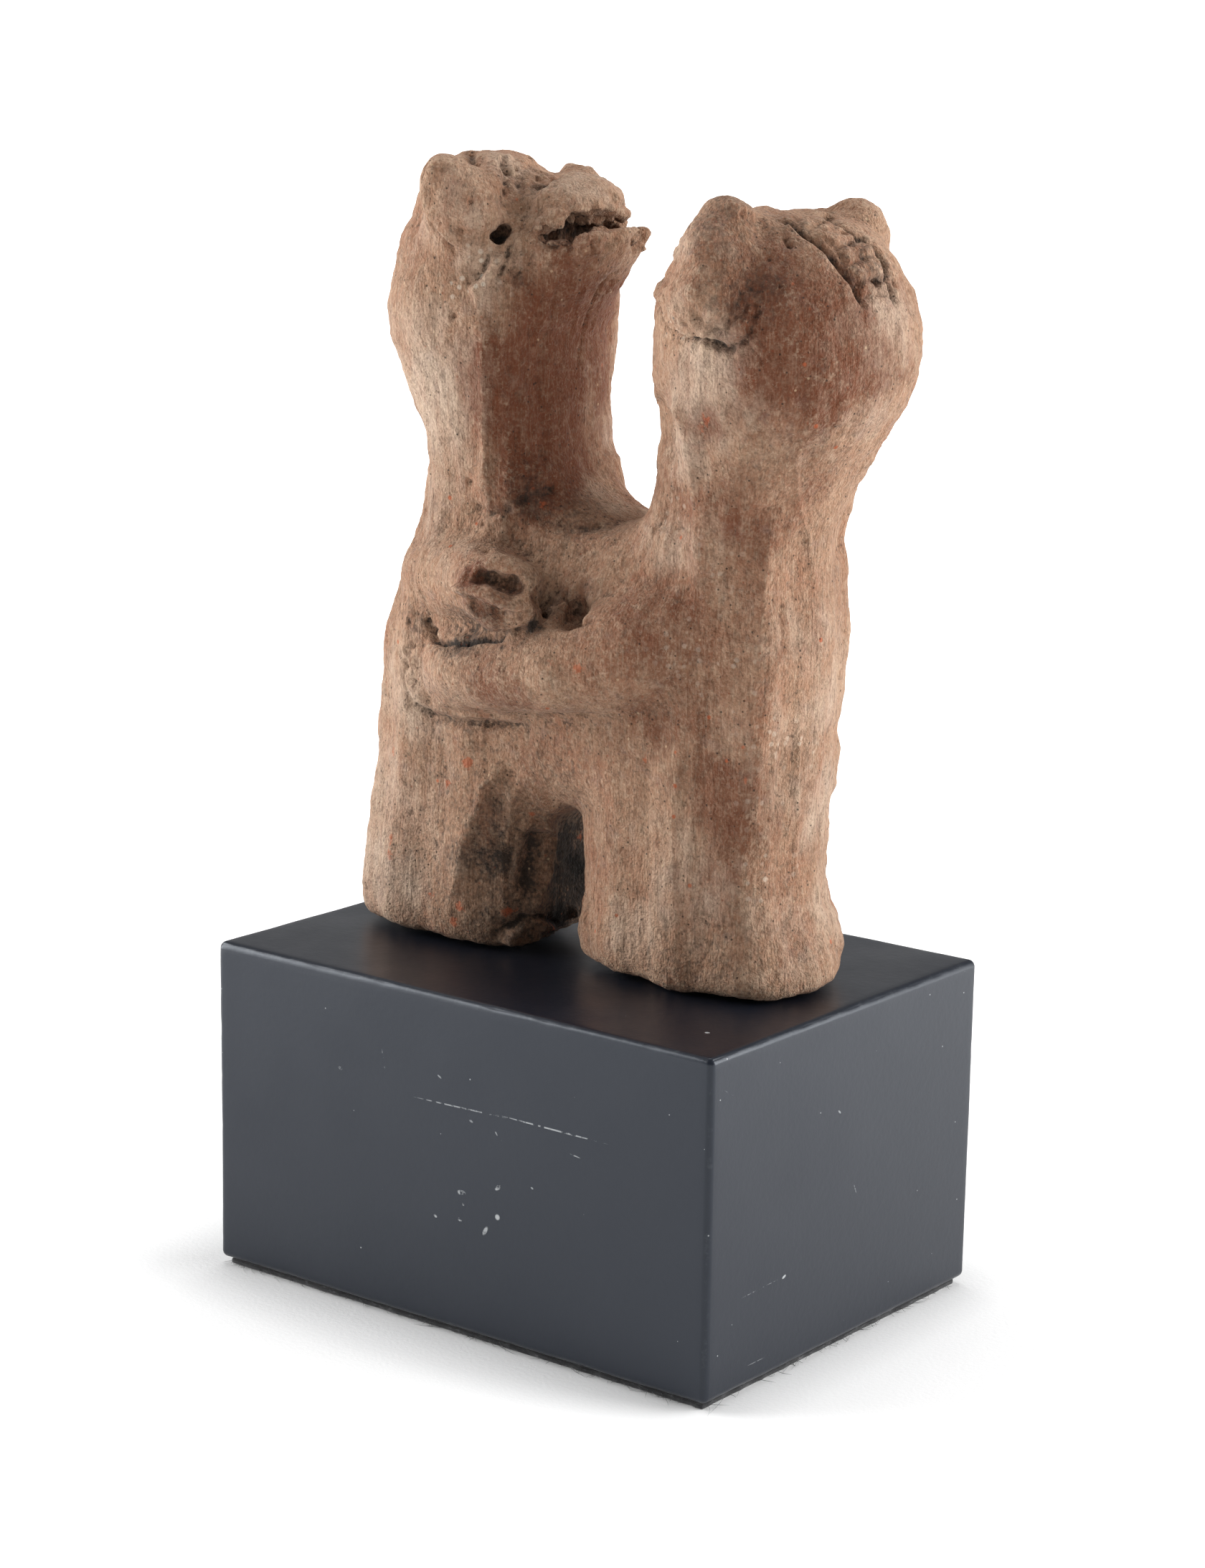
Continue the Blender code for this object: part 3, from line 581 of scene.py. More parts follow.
def hashed(cell, seed):
    """A number from 0 to 1 for each row of whole numbers, always the same one: each number times
    a large prime, all added, the bits folded over twice."""
    mixed = (cell * (374761393, 668265263, 2147483629)).sum(-1) + seed * 1274126177
    mixed &= 0xFFFFFFFF
    mixed = ((mixed ^ (mixed >> 13)) * 1274126177) & 0xFFFFFFFF
    mixed ^= mixed >> 16
    return (mixed & 0xFFFFFF) / 0xFFFFFF


def grain(points, size, seed):
    """Smooth noise from -1 to 1: random numbers on the corners of a grid, eased between them."""
    place = points / size + 500
    corner = np.floor(place).astype(np.int64)
    share = place - corner
    share = share**2 * (3 - 2 * share)
    total = np.zeros(len(points))
    for step in product((0, 1), repeat=3):
        total += np.where(step, share, 1 - share).prod(1) * hashed(corner + step, seed)
    return 2 * total - 1


def layered(points, size, layers, seed):
    """Noise in layers, each half as coarse and half as strong as the one before."""
    return sum(
        grain(points, np.multiply(size, 0.5**n), seed + n) * 0.5**n for n in range(layers)
    )


def cells(points, size, seed):
    """Points strewn one to a grid cell: how far the nearest is, in mm, and its random number."""
    place = points / size + 500
    home = np.floor(place).astype(np.int64)
    nearest = np.full(len(points), 9.0)
    number = np.zeros(len(points))
    for step in product((-1, 0, 1), repeat=3):
        cell = home + step
        spot = cell + np.stack([hashed(cell, seed + n) for n in range(3)], 1)
        far = np.linalg.norm(place - spot, axis=1)
        closer = far < nearest
        nearest = np.where(closer, far, nearest)
        number = np.where(closer, hashed(cell, seed + 7), number)
    return nearest * size, number


def eased(value, low, high):
    """0 below low and 1 above high, smooth between them."""
    share = np.clip((value - low) / (high - low), 0, 1)
    return share**2 * (3 - 2 * share)


# Meshes


def add_piece(name, mesh, material, slot, *nodes):
    """Puts a finished mesh into the scene as a piece that rides on the body and stands for nodes."""
    piece = bpy.data.objects.new(name, mesh)
    bpy.context.scene.collection.objects.link(piece)
    mesh.materials.clear()
    mesh.materials.append(material)
    mesh.polygons.foreach_set("use_smooth", np.ones(len(mesh.polygons), bool))
    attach(piece, "root")
    if nodes:
        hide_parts(*nodes)
    return piece


def surface_mesh(name, points, faces):
    """A mesh in metres from arrays of points and faces, with its doubles merged and faces outwards."""
    mesh = bpy.data.meshes.new(name)
    mesh.from_pydata(points.tolist(), [], faces.tolist())
    bm = bmesh.new()
    bm.from_mesh(mesh)
    bmesh.ops.remove_doubles(bm, verts=bm.verts, dist=1e-7)
    bmesh.ops.recalc_face_normals(bm, faces=bm.faces)
    bm.to_mesh(mesh)
    bm.free()
    return mesh


def worked(mesh, kind, **settings):
    """What one modifier makes of a mesh, as a new mesh."""
    holder = bpy.data.objects.new("holder", mesh)
    bpy.context.scene.collection.objects.link(holder)
    modifier = holder.modifiers.new(kind, kind)
    for name, value in settings.items():
        setattr(modifier, name, value)
    graph = bpy.context.evaluated_depsgraph_get()
    made = bpy.data.meshes.new_from_object(holder.evaluated_get(graph))
    bpy.data.objects.remove(holder, do_unlink=True)
    return made


def read(mesh):
    """A mesh's points in mm from the middle of the clay's underside, its normals and its edges."""
    points = np.empty(len(mesh.vertices) * 3, np.float32)
    mesh.vertices.foreach_get("co", points)
    normals = np.empty(len(mesh.vertices) * 3, np.float32)
    mesh.vertex_normals.foreach_get("vector", normals)
    edges = np.empty(len(mesh.edges) * 2, np.int32)
    mesh.edges.foreach_get("vertices", edges)
    points = points.reshape(-1, 3).astype(float)
    return (points - (0, 0, CLAY_LOW)) / MM, normals.reshape(-1, 3).astype(float), edges.reshape(-1, 2)


def write(mesh, points):
    """Puts points in mm from the middle of the clay's underside into the mesh."""
    mesh.vertices.foreach_set("co", (points * MM + (0, 0, CLAY_LOW)).astype(np.float32).ravel())
    mesh.update()


def relaxed(values, edges, rounds, share=0.5):
    """In rounds, each point goes a share of the way to the mean of its neighbours."""
    count = np.bincount(edges.ravel(), minlength=len(values)).clip(1)[:, None]
    first, second = edges.T
    for _ in range(rounds):
        total = np.stack(
            [
                np.bincount(first, column[second], len(column))
                + np.bincount(second, column[first], len(column))
                for column in values.T
            ],
            1,
        )
        values = values + share * (total / count - values)
    return values


# Placing marks on the clay and on the block


def sight(pixel):
    """The direction of the camera's ray through a pixel."""
    across, down = pixel[0] - IMAGE_WIDTH / 2, pixel[1] - IMAGE_HEIGHT / 2
    return Vector(RIGHT * across / FOCAL_PIXELS - UP * down / FOCAL_PIXELS - BACK).normalized()


def on_block(pixel, axis):
    """Where the camera's ray through a pixel meets the block's near, right or top face."""
    face = PLINTH_LOW.y if axis == 1 else PLINTH_HIGH[axis]
    way = sight(pixel)
    return Vector(CAMERA_PLACE) + way * ((face - CAMERA_PLACE[axis]) / way[axis])


class Clay:
    """The clay's CAD surface as a tree to cast rays on, in mm from the middle of its underside."""

    def __init__(self, mesh):
        points = read(mesh)[0]
        faces = [tuple(face.vertices) for face in mesh.polygons]
        self.tree = BVHTree.FromPolygons(points.tolist(), faces)
        self.eye = Vector((CAMERA_PLACE - (0, 0, CLAY_LOW)) / MM)

    def seen(self, pixel):
        """The point that the camera's ray through a pixel meets, or passes nearest to."""
        way = sight(pixel)
        hit = self.tree.ray_cast(self.eye, way)[0]
        if hit is not None:
            return hit
        steps = np.linspace(CLAY_NEAREST, CLAY_FARTHEST, 91)
        found = [self.tree.find_nearest(self.eye + way * far) for far in steps]
        return min(found, key=lambda place: place[3])[0]

    def places(self, pixels, where):
        """The marks' points on the clay, once for each place where the mark is made."""
        here = np.array([self.seen(pixel) for pixel in pixels])
        return [here] + [copied(here, other) for other in ELSEWHERE[where]]

    def path(self, places, spacing=0.15):
        """A line through the places, laid on the clay: its points, normals and sideways directions."""
        steps = np.linalg.norm(np.diff(places, axis=0), axis=1)
        along = np.concatenate([[0], np.cumsum(steps)])
        marks = np.linspace(0, along[-1], max(4, int(along[-1] / spacing)))
        line = np.stack([np.interp(marks, along, column) for column in places.T], 1)
        laid = [self.tree.find_nearest(point) for point in line]
        points = np.array([found[0] for found in laid])
        normals = np.array([found[1] for found in laid])
        links = np.stack([np.arange(len(line) - 1), np.arange(1, len(line))], 1)
        normals = relaxed(normals, links, 8)
        normals /= np.linalg.norm(normals, axis=1)[:, None]
        ahead = np.gradient(points, axis=0)
        sideways = np.cross(normals, ahead)
        return points, normals, sideways / np.linalg.norm(sideways, axis=1).clip(1e-9)[:, None]


def beside(points, path, reach):
    """For the points within reach of the path: their rows, how far they lie from it, how far to
    its left, both measured along the clay, their share of the way along, and a fade from 1 to 0
    where the clay bends away from the path's own level."""
    line, normals, sideways = path
    rows = np.flatnonzero(((points > line.min(0) - reach) & (points < line.max(0) + reach)).all(1))
    if not len(rows):
        return rows, rows, rows, rows, rows
    gaps = points[rows, None] - line[None]
    nearest = np.einsum("ijk,ijk->ij", gaps, gaps).argmin(1)
    gap = gaps[np.arange(len(rows)), nearest]
    height = (gap * normals[nearest]).sum(1)
    flat = gap - height[:, None] * normals[nearest]
    far = np.linalg.norm(flat, axis=1)
    limit = LEVEL_HEIGHT + LEVEL_GROWTH * reach
    fade = 1 - eased(np.abs(height), 0.45 * limit, limit)
    kept = (fade > 0) & (far < reach)
    left = (flat * sideways[nearest]).sum(1)
    return rows[kept], far[kept], left[kept], (nearest / (len(line) - 1))[kept], fade[kept]


def mark_profile(kind, far, left, width):
    """How high a mark stands, as a share of its depth, by the distance from its line. A groove and
    a ridge are bell curves. A crease falls away like a tent on both sides. A step rises on the
    left, falls back gently, and undercuts the right."""
    bell = np.exp(-((far / width) ** 2))
    if kind == "groove":
        return -bell
    if kind == "ridge":
        return bell
    if kind == "crease":
        return np.exp(-np.sqrt((far / width) ** 2 + 0.02))
    rise = eased(left, -0.6 * width, 0.8 * width) * np.exp(-((left.clip(0) / (5 * width)) ** 2))
    return rise - 0.7 * np.exp(-(((left + 0.9 * width) / (0.8 * width)) ** 2))


def carved(points, clay, table):
    """How far each mark of the table pushes each point outwards, in mm."""
    moved = np.zeros(len(points))
    for number, (kind, width, depth, ragged, where, pixels) in enumerate(table):
        for places in clay.places(pixels, where):
            path = clay.path(places)
            rows, far, left, along, fade = beside(points, path, MARK_REACH * width)
            if not len(rows):
                continue
            near = points[rows]
            rough = 1 + ragged * grain(near, 1.1, 40 + number)
            wide = width * (1 + 0.5 * ragged * grain(near, 0.9, 140 + number))
            sway = 0.6 * ragged * width * grain(near, 1.6, 240 + number)
            length = np.linalg.norm(np.diff(path[0], axis=0), axis=1).sum()
            ends = eased(np.minimum(along, 1 - along), 0, np.clip(0.6 * width / length, 0.14, 0.5))
            shape = mark_profile(kind, np.abs(far + sway), left + sway, wide)
            moved[rows] += fade * depth * rough.clip(0.2, 1.9) * ends * shape
    return moved


def blobs(points, clay, table):
    """How strongly each point lies in the table's round patches: bell curves, the strongest wins."""
    strength = np.zeros(len(points))
    for pixel, radius, amount, where in table:
        for place in clay.places([pixel], where):
            far = np.linalg.norm(points - place[0], axis=1)
            strength = np.maximum(strength, amount * np.exp(-((far / radius) ** 2)))
    return strength


def strokes_of_blade(points, clay):
    """Upright strokes of a blade round each body: hollow strips of uneven width, told by the plan
    angle, that wander a little with height, with sharp ridges left between them."""
    height = points[:, 2]
    right_side = points[:, 0] > np.interp(height, *PARTING)
    moved = np.zeros(len(points))
    for seed, mine, middle in ((3, ~right_side, LEFT_MIDDLE), (5, right_side, RIGHT_MIDDLE)):
        here = points[mine]
        angle = np.arctan2(here[:, 1], here[:, 0] - np.interp(here[:, 2], *middle))
        wander = grain(here, (60, 60, 22), seed) * 0.09 + 0.05 * np.sin(here[:, 2] / 19 + seed)
        turn = (angle + wander) / math.tau % 1
        numbers = np.arange(BLADE_STROKES)
        uneven = hashed(numbers[:, None] * (1, 0, 0), seed)
        borders = (numbers + 0.75 * uneven) / BLADE_STROKES
        borders = np.concatenate([[borders[-1] - 1], borders, [borders[0] + 1]])
        strip = np.searchsorted(borders, turn, side="right")
        share = (turn - borders[strip - 1]) / (borders[strip] - borders[strip - 1])
        number = strip % BLADE_STROKES
        tag = np.stack([number, np.zeros_like(number), np.zeros_like(number)], 1)
        pressed = 0.35 + 0.65 * hashed(tag, seed + 11)
        spot = np.stack([number * 7.0, np.zeros(len(here)), here[:, 2]], 1)
        pressed *= 0.55 + 0.6 * grain(spot, (1, 1, 16), seed + 20)
        moved[mine] = -pressed.clip(0.05) * ((4 * share * (1 - share)) ** 0.8 - 0.62)
    fade = eased(height, *FEET_FADE) * (1 - 0.75 * eased(height, *HEADS_FADE))
    belly = np.exp(-(((points[:, 0] - BELLY_MIDDLE) / BELLY_HALF) ** 2)) * eased(height, *BELLY_FADE)
    fade *= 1 - 0.7 * belly
    for places in clay.places(ARM_LINE, "arms"):
        line = clay.path(places, 1.0)[0]
        far = np.linalg.norm(points[:, None] - line[None], axis=2).min(1)
        fade *= 1 - 0.85 * np.exp(-((far / ARM_REACH) ** 2))
    return moved * fade


class DOUBLEFIGURE_OT_clay(bpy.types.Operator):
    """Makes the clay figures from a copy of the CAD solid: stroked, pared, torn and pitted"""

    bl_idname = "doublefigure.clay"
    bl_label = "Clay figures"

    def execute(self, context):
        look = context.scene.double_figure_clay
        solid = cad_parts["double_figure"].data.copy()
        bm = bmesh.new()
        bm.from_mesh(solid)
        bmesh.ops.remove_doubles(bm, verts=bm.verts, dist=1e-6)
        bm.to_mesh(solid)
        bm.free()
        clay = Clay(solid)
        mesh = worked(solid, "REMESH", mode="VOXEL", voxel_size=look.grain)
        points, _, edges = read(mesh)
        torn = blobs(points, clay, TORN)
        points = relaxed(points, edges, SETTLE_ROUNDS, 0.5 * (1 - 0.9 * torn.clip(0, 1))[:, None])
        write(mesh, points)
        points, normals, edges = read(mesh)

        out = look.lumps / MM * layered(points, 9.0, 2, 1)
        out += DENT_DEPTH * layered(points, DENT_SIZE, 2, 9)
        out += look.paring / MM * strokes_of_blade(points, clay)
        out += carved(points, clay, MARKS) + carved(points, clay, FORMS)
        for pixel, radius, depth in PITS:
            far = np.linalg.norm(points - np.array(clay.seen(pixel)), axis=1)
            out -= depth * (1 - eased(far, PIT_FLOOR * radius, PIT_RIM * radius))
        crumb = np.abs(grain(points, 1.5, 31)) + 0.6 * np.abs(grain(points, 0.8, 33))
        out += look.crumb / MM * torn.clip(0, 1) * (1.5 * crumb - 0.7 + 0.4 * grain(points, 0.6, 35))
        heads = eased(points[:, 2], HEADS_START, HEADS_FULL)
        far, number = cells(points, GRAIN_SPACING, 51)
        size = 0.18 + 0.30 * (number * 37 % 1)
        fallen = (number < 0.10 + 0.22 * heads) * (1 - eased(far, 0.5 * size, 1.3 * size))
        out -= GRAIN_DEPTH * fallen
        out += 0.10 * grain(points, 0.75, 61) + 0.08 * grain(points, (0.6, 0.6, 5.0), 63)
        out += 0.09 * grain(points, 1.5, 65)
        points = points + normals * out[:, None]
        points = relaxed(points, edges, 1, 0.25)
        points[:, 2] = points[:, 2].clip(0)
        write(mesh, points)

        share = look.triangles / (2 * len(mesh.polygons))
        mesh = worked(mesh, "DECIMATE", ratio=min(1.0, share))
        self.paint(mesh, clay)
        add_piece("clay_figures", mesh, terracotta(look), "fired_clay", "double_figure")
        return {"FINISHED"}

    def paint(self, mesh, clay):
        """Gives each point its share of soot and painted shade, of redness and painted shade, of dust,
        chalk and hollowness. Hollowness is how far the point lies below the mean of its neighbours, near
        and far; it paints shade into the hollows and a highlight onto the ridges."""
        points, normals, edges = read(mesh)
        near = relaxed(points, edges, NEAR_ROUNDS)
        wide = relaxed(near, edges, WIDE_ROUNDS)
        small = ((near - points) * normals).sum(1)
        large = ((wide - near) * normals).sum(1)
        hollow_shade_and_highlight = small / np.percentile(np.abs(small), 96) + large / np.percentile(np.abs(large), 96)
        height = points[:, 2]
        soot_and_shade = blobs(points, clay, SOOT_AND_SHADE) * (0.85 + 0.3 * layered(points, 3.0, 3, 71))
        # Painted shade: darker in every groove and below every step of the marks
        soot_and_shade += 0.60 * (-carved(points, clay, MARKS) - 0.15).clip(0, 1)
        # Darker towards the feet, in patches
        soot_and_shade += 0.15 * eased(height, 16, 2) * layered(points, 5.0, 2, 74).clip(0)
        # Redness, and painted shade on the left neck's front
        red = blobs(points, clay, RED_AND_SHADE) + 0.25 * layered(points, 9.0, 3, 77)
        pale = blobs(points, clay, PALE) + 0.20 * layered(points, 7.0, 3, 81)
        chalk = blobs(points, clay, [(*spot, "once") for spot in CHALK])
        grog = blobs(points, clay, [(*spot, "once") for spot in GROG])
        shares = {
            "soot_and_shade": soot_and_shade.clip(0, 1.3),
            "red": red.clip(0, 1),
            "pale": pale.clip(0, 1),
            "chalk": chalk.clip(0, 1),
            "grog": grog.clip(0, 1),
            "hollow_shade_and_highlight": relaxed(hollow_shade_and_highlight.clip(-1.5, 2)[:, None], edges, 1)[:, 0],
        }
        for name, values in shares.items():
            layer = mesh.attributes.new(name, "FLOAT", "POINT")
            layer.data.foreach_set("value", values.astype(np.float32))


# Block and felt

# The felt: the radius of its edges as a share of its thickness, the spacing of its points, how
# far its edge is frayed, and its hairs: half their thickness, the height their ends sink to, and
# the height that no hair goes below
FELT_ROUNDING = 0.34
FELT_SPACING = 0.0007
FRAY = 0.00022
HAIR_HALF = 0.000028
HAIR_END, HAIR_LOWEST = 0.00006, 0.00005

# Where the paint is rubbed thin and a painted highlight runs, between these distances from an edge in
# metres, and how deep the rubbing goes in mm
RUB_START, RUB_END = 0.0004, 0.0012
RUB_DEPTH = 0.10


def spaced_ends(half, radius, spacing):
    """Places across a face: close together over the rounded edges, even between them."""
    flat = np.linspace(0, half - radius, max(3, int((half - radius) / spacing)))
    places = np.concatenate([flat, np.linspace(half - radius, half, 7)[1:]])
    return np.concatenate([-places[:0:-1], places])


def rounded_box(low, high, radius, spacing):
    """A box whose edges are rounded: each point of a cube's six grids is drawn to the nearest point
    of the inner box, then set one radius away from it. Gives points, faces and how near each point
    is to the middle of an edge, from 0 to 1."""
    low, high = np.array(low), np.array(high)
    middle, half = (low + high) / 2, (high - low) / 2
    all_points, all_faces, count = [], [], 0
    for axis in range(3):
        u_axis, v_axis = (axis + 1) % 3, (axis + 2) % 3
        u, v = (spaced_ends(half[a], radius, spacing) for a in (u_axis, v_axis))
        grid_u, grid_v = np.meshgrid(u, v, indexing="ij")
        rows, columns = grid_u.shape
        corner = (np.arange(rows - 1)[:, None] * columns + np.arange(columns - 1)).ravel()
        quads = np.stack([corner, corner + columns, corner + columns + 1, corner + 1], 1)
        for side in (1, -1):
            points = np.empty((grid_u.size, 3))
            points[:, u_axis], points[:, v_axis] = grid_u.ravel(), grid_v.ravel()
            points[:, axis] = side * half[axis]
            all_points.append(points)
            all_faces.append(quads + count)
            count += len(points)
    points = np.concatenate(all_points)
    inner = np.clip(points, -(half - radius), half - radius)
    away = points - inner
    away /= np.linalg.norm(away, axis=1)[:, None]
    points = inner + away * radius + middle
    edge = ((1 - np.abs(away).max(1)) / (1 - math.sqrt(0.5))).clip(0, 1)
    return points, np.concatenate(all_faces), away, edge


class DOUBLEFIGURE_OT_block(bpy.types.Operator):
    """Makes the painted block: sanded edges, slightly uneven faces, rubbed along the edges"""

    bl_idname = "doublefigure.block"
    bl_label = "Painted block"

    def execute(self, context):
        look = context.scene.double_figure_block
        points, faces, away, edge = rounded_box(
            PLINTH_LOW, PLINTH_HIGH, look.edge_radius, look.spacing
        )
        place = points / MM
        uneven = look.waviness * layered(place, 14.0, 2, 201)
        rubbed = edge * grain(place, 1.6, 205).clip(0) * RUB_DEPTH * MM
        flat_foot = points[:, 2] < PLINTH_LOW.z + 0.0001
        points = points + away * np.where(flat_foot, 0.0, uneven - rubbed)[:, None]
        mesh = surface_mesh("block", points, faces)
        coordinates = np.empty(len(mesh.vertices) * 3, np.float32)
        mesh.vertices.foreach_get("co", coordinates)
        coordinates = coordinates.reshape(-1, 3)
        # How near each point is to an edge: where the paint is worn and the painted highlight runs
        low, high = np.array(PLINTH_LOW), np.array(PLINTH_HIGH)
        inside = np.sort(np.minimum(coordinates - low, high - coordinates), axis=1)[:, :2]
        near_edge = 1 - eased(inside.sum(1), RUB_START, RUB_END)
        mesh.attributes.new("edge", "FLOAT", "POINT").data.foreach_set(
            "value", near_edge.astype(np.float32)
        )
        add_piece("block", mesh, black_paint(look), "black_paint", "plinth")
        return {"FINISHED"}


class DOUBLEFIGURE_OT_felt(bpy.types.Operator):
    """Makes the felt under the block, with an uneven cut edge and loose hairs"""

    bl_idname = "doublefigure.felt"
    bl_label = "Felt"

    def execute(self, context):
        look = context.scene.double_figure_felt
        thickness = FELT_HIGH.z - FELT_LOW.z
        points, faces, away, _ = rounded_box(
            FELT_LOW, FELT_HIGH, thickness * FELT_ROUNDING, FELT_SPACING
        )
        outline = (np.abs(away[:, 2]) < 0.9)[:, None] * away * (1, 1, 0)
        frayed = FRAY * layered(points / MM, (2.2, 2.2, 9.0), 3, 301)
        points = points + outline * frayed[:, None]
        mesh = surface_mesh("felt", points, faces)
        material = black_felt(look)
        felt = add_piece("felt", mesh, material, "black_felt", "felt_pad")
        hairs = add_piece("felt_hairs", self.hair_mesh(look), material, "black_felt")
        return {"FINISHED"}

    def hair_mesh(self, look):
        """Loose hairs: each starts in the felt's edge and bends out and down along a parabola with
        a sideways curl. Three points round each of five stations make it a thin closed spindle."""
        count, stations, sides = look.hairs, 5, 3
        rng = np.random.default_rng(17)
        low, high = np.array(FELT_LOW), np.array(FELT_HIGH)
        size = high - low
        along = rng.uniform(0, 2 * (size[0] + size[1]), count)
        side = np.searchsorted(np.cumsum((size[0], size[1], size[0])), along)
        start = along - np.array((0, size[0], size[0] + size[1], 2 * size[0] + size[1]))[side]
        out = np.array(((0, -1, 0), (1, 0, 0), (0, 1, 0), (-1, 0, 0)))[side]
        ahead = np.array(((1, 0, 0), (0, 1, 0), (-1, 0, 0), (0, -1, 0)))[side]
        corner = np.array(
            ((low[0], low[1], 0), (high[0], low[1], 0), (high[0], high[1], 0), (low[0], high[1], 0))
        )[side]
        root = corner + ahead * start[:, None] - out * 0.0002
        root[:, 2] = rng.uniform(0.00015, 0.0006, count)
        length = look.hair_length * rng.uniform(0.35, 1.2, count) * rng.choice((1, 1, 1, 1.8), count)
        lean = rng.normal(0, 1.0, count)
        curl = rng.normal(0, 1.2, count)
        t = np.linspace(0, 1, stations)[None, :, None]
        reach = length[:, None, None] * t
        middle = (
            root[:, None]
            + out[:, None] * reach * 0.62
            + ahead[:, None] * reach * (lean[:, None, None] * 0.7 + curl[:, None, None] * t * 0.6)
        )
        bent = t[..., 0] ** 2
        middle[:, :, 2] = (middle[:, :, 2] * (1 - bent) + HAIR_END * bent).clip(HAIR_LOWEST)
        thick = HAIR_HALF * np.sqrt((1 - (2 * t - 1) ** 2).clip(0.02))
        angle = np.arange(sides) * math.tau / sides
        ring = np.stack([np.cos(angle), np.sin(angle)], 1)
        side_way = ahead[:, None, None] * ring[None, None, :, :1]
        rise = np.array((0, 0, 1.0)) * ring[None, None, :, 1:]
        points = middle[:, :, None] + thick[..., None] * (side_way + rise)
        points = points.reshape(-1, 3)
        first = (np.arange(count)[:, None, None] * stations + np.arange(stations - 1)[:, None]) * sides
        around = np.arange(sides)
        after = (around + 1) % sides
        quads = np.stack(
            [first + around, first + after, first + sides + after, first + sides + around], -1
        ).reshape(-1, 4)
        caps = np.arange(count)[:, None] * stations * sides
        ends = np.concatenate([caps + around, caps + (stations - 1) * sides + around])
        mesh = bpy.data.meshes.new("felt_hairs")
        mesh.from_pydata(points.tolist(), [], quads.tolist() + ends.tolist())
        bm = bmesh.new()
        bm.from_mesh(mesh)
        bmesh.ops.recalc_face_normals(bm, faces=bm.faces)
        bm.to_mesh(mesh)
        bm.free()
        return mesh


# Materials


def add(tree, kind, sockets=(), **settings):
    """Adds one node with its settings, and gives each named socket a value or an output to read."""
    made = tree.nodes.new("ShaderNode" + kind)
    for name, value in settings.items():
        setattr(made, name, value)
    for name, value in dict(sockets).items():
        if isinstance(value, bpy.types.NodeSocket):
            tree.links.new(value, made.inputs[name])
        else:
            made.inputs[name].default_value = value
    return made


def new_material(name):
    """An empty material, its node tree, its Principled node and the object's own coordinates."""
    material = bpy.data.materials.new(name)
    material.use_nodes = True
    tree = material.node_tree
    surface = tree.nodes["Principled BSDF"]
    return material, tree, surface, add(tree, "TexCoord").outputs["Object"]


def pattern(tree, place, kind, size, detail, stretch=(1, 1, 1)):
    """A noise or cell pattern whose features are size mm across, longer where stretch is more."""
    scaled = add(tree, "Mapping", {0: place, 3: [1 / s for s in stretch]}).outputs[0]
    sockets = {"Vector": scaled, "Scale": 1 / (size * MM)}
    if kind == "TexNoise":
        sockets.update({"Detail": detail, "Roughness": 0.6})
    return add(tree, kind, sockets)


def dots(tree, place, size, radius, core, share, cover):
    """How much dots cover, in a share of the cells of a pattern whose cells are size mm across. A
    dot is full over its core, a share of its radius in mm, and fades out from there."""
    strewn = pattern(tree, place, "TexVoronoi", size, 0.0)
    far, rim = strewn.outputs["Distance"], radius / size
    inside = add(tree, "MapRange", {0: far, 1: rim, 2: core * rim, 3: 0.0, 4: cover}).outputs[0]
    pick = add(tree, "SeparateColor", {0: strewn.outputs["Color"]}).outputs[0]
    chosen = add(tree, "MapRange", {0: pick, 1: share, 2: share * 0.9, 3: 0.0, 4: 1.0}).outputs[0]
    return add(tree, "Math", {0: inside, 1: chosen}, operation="MULTIPLY").outputs[0]


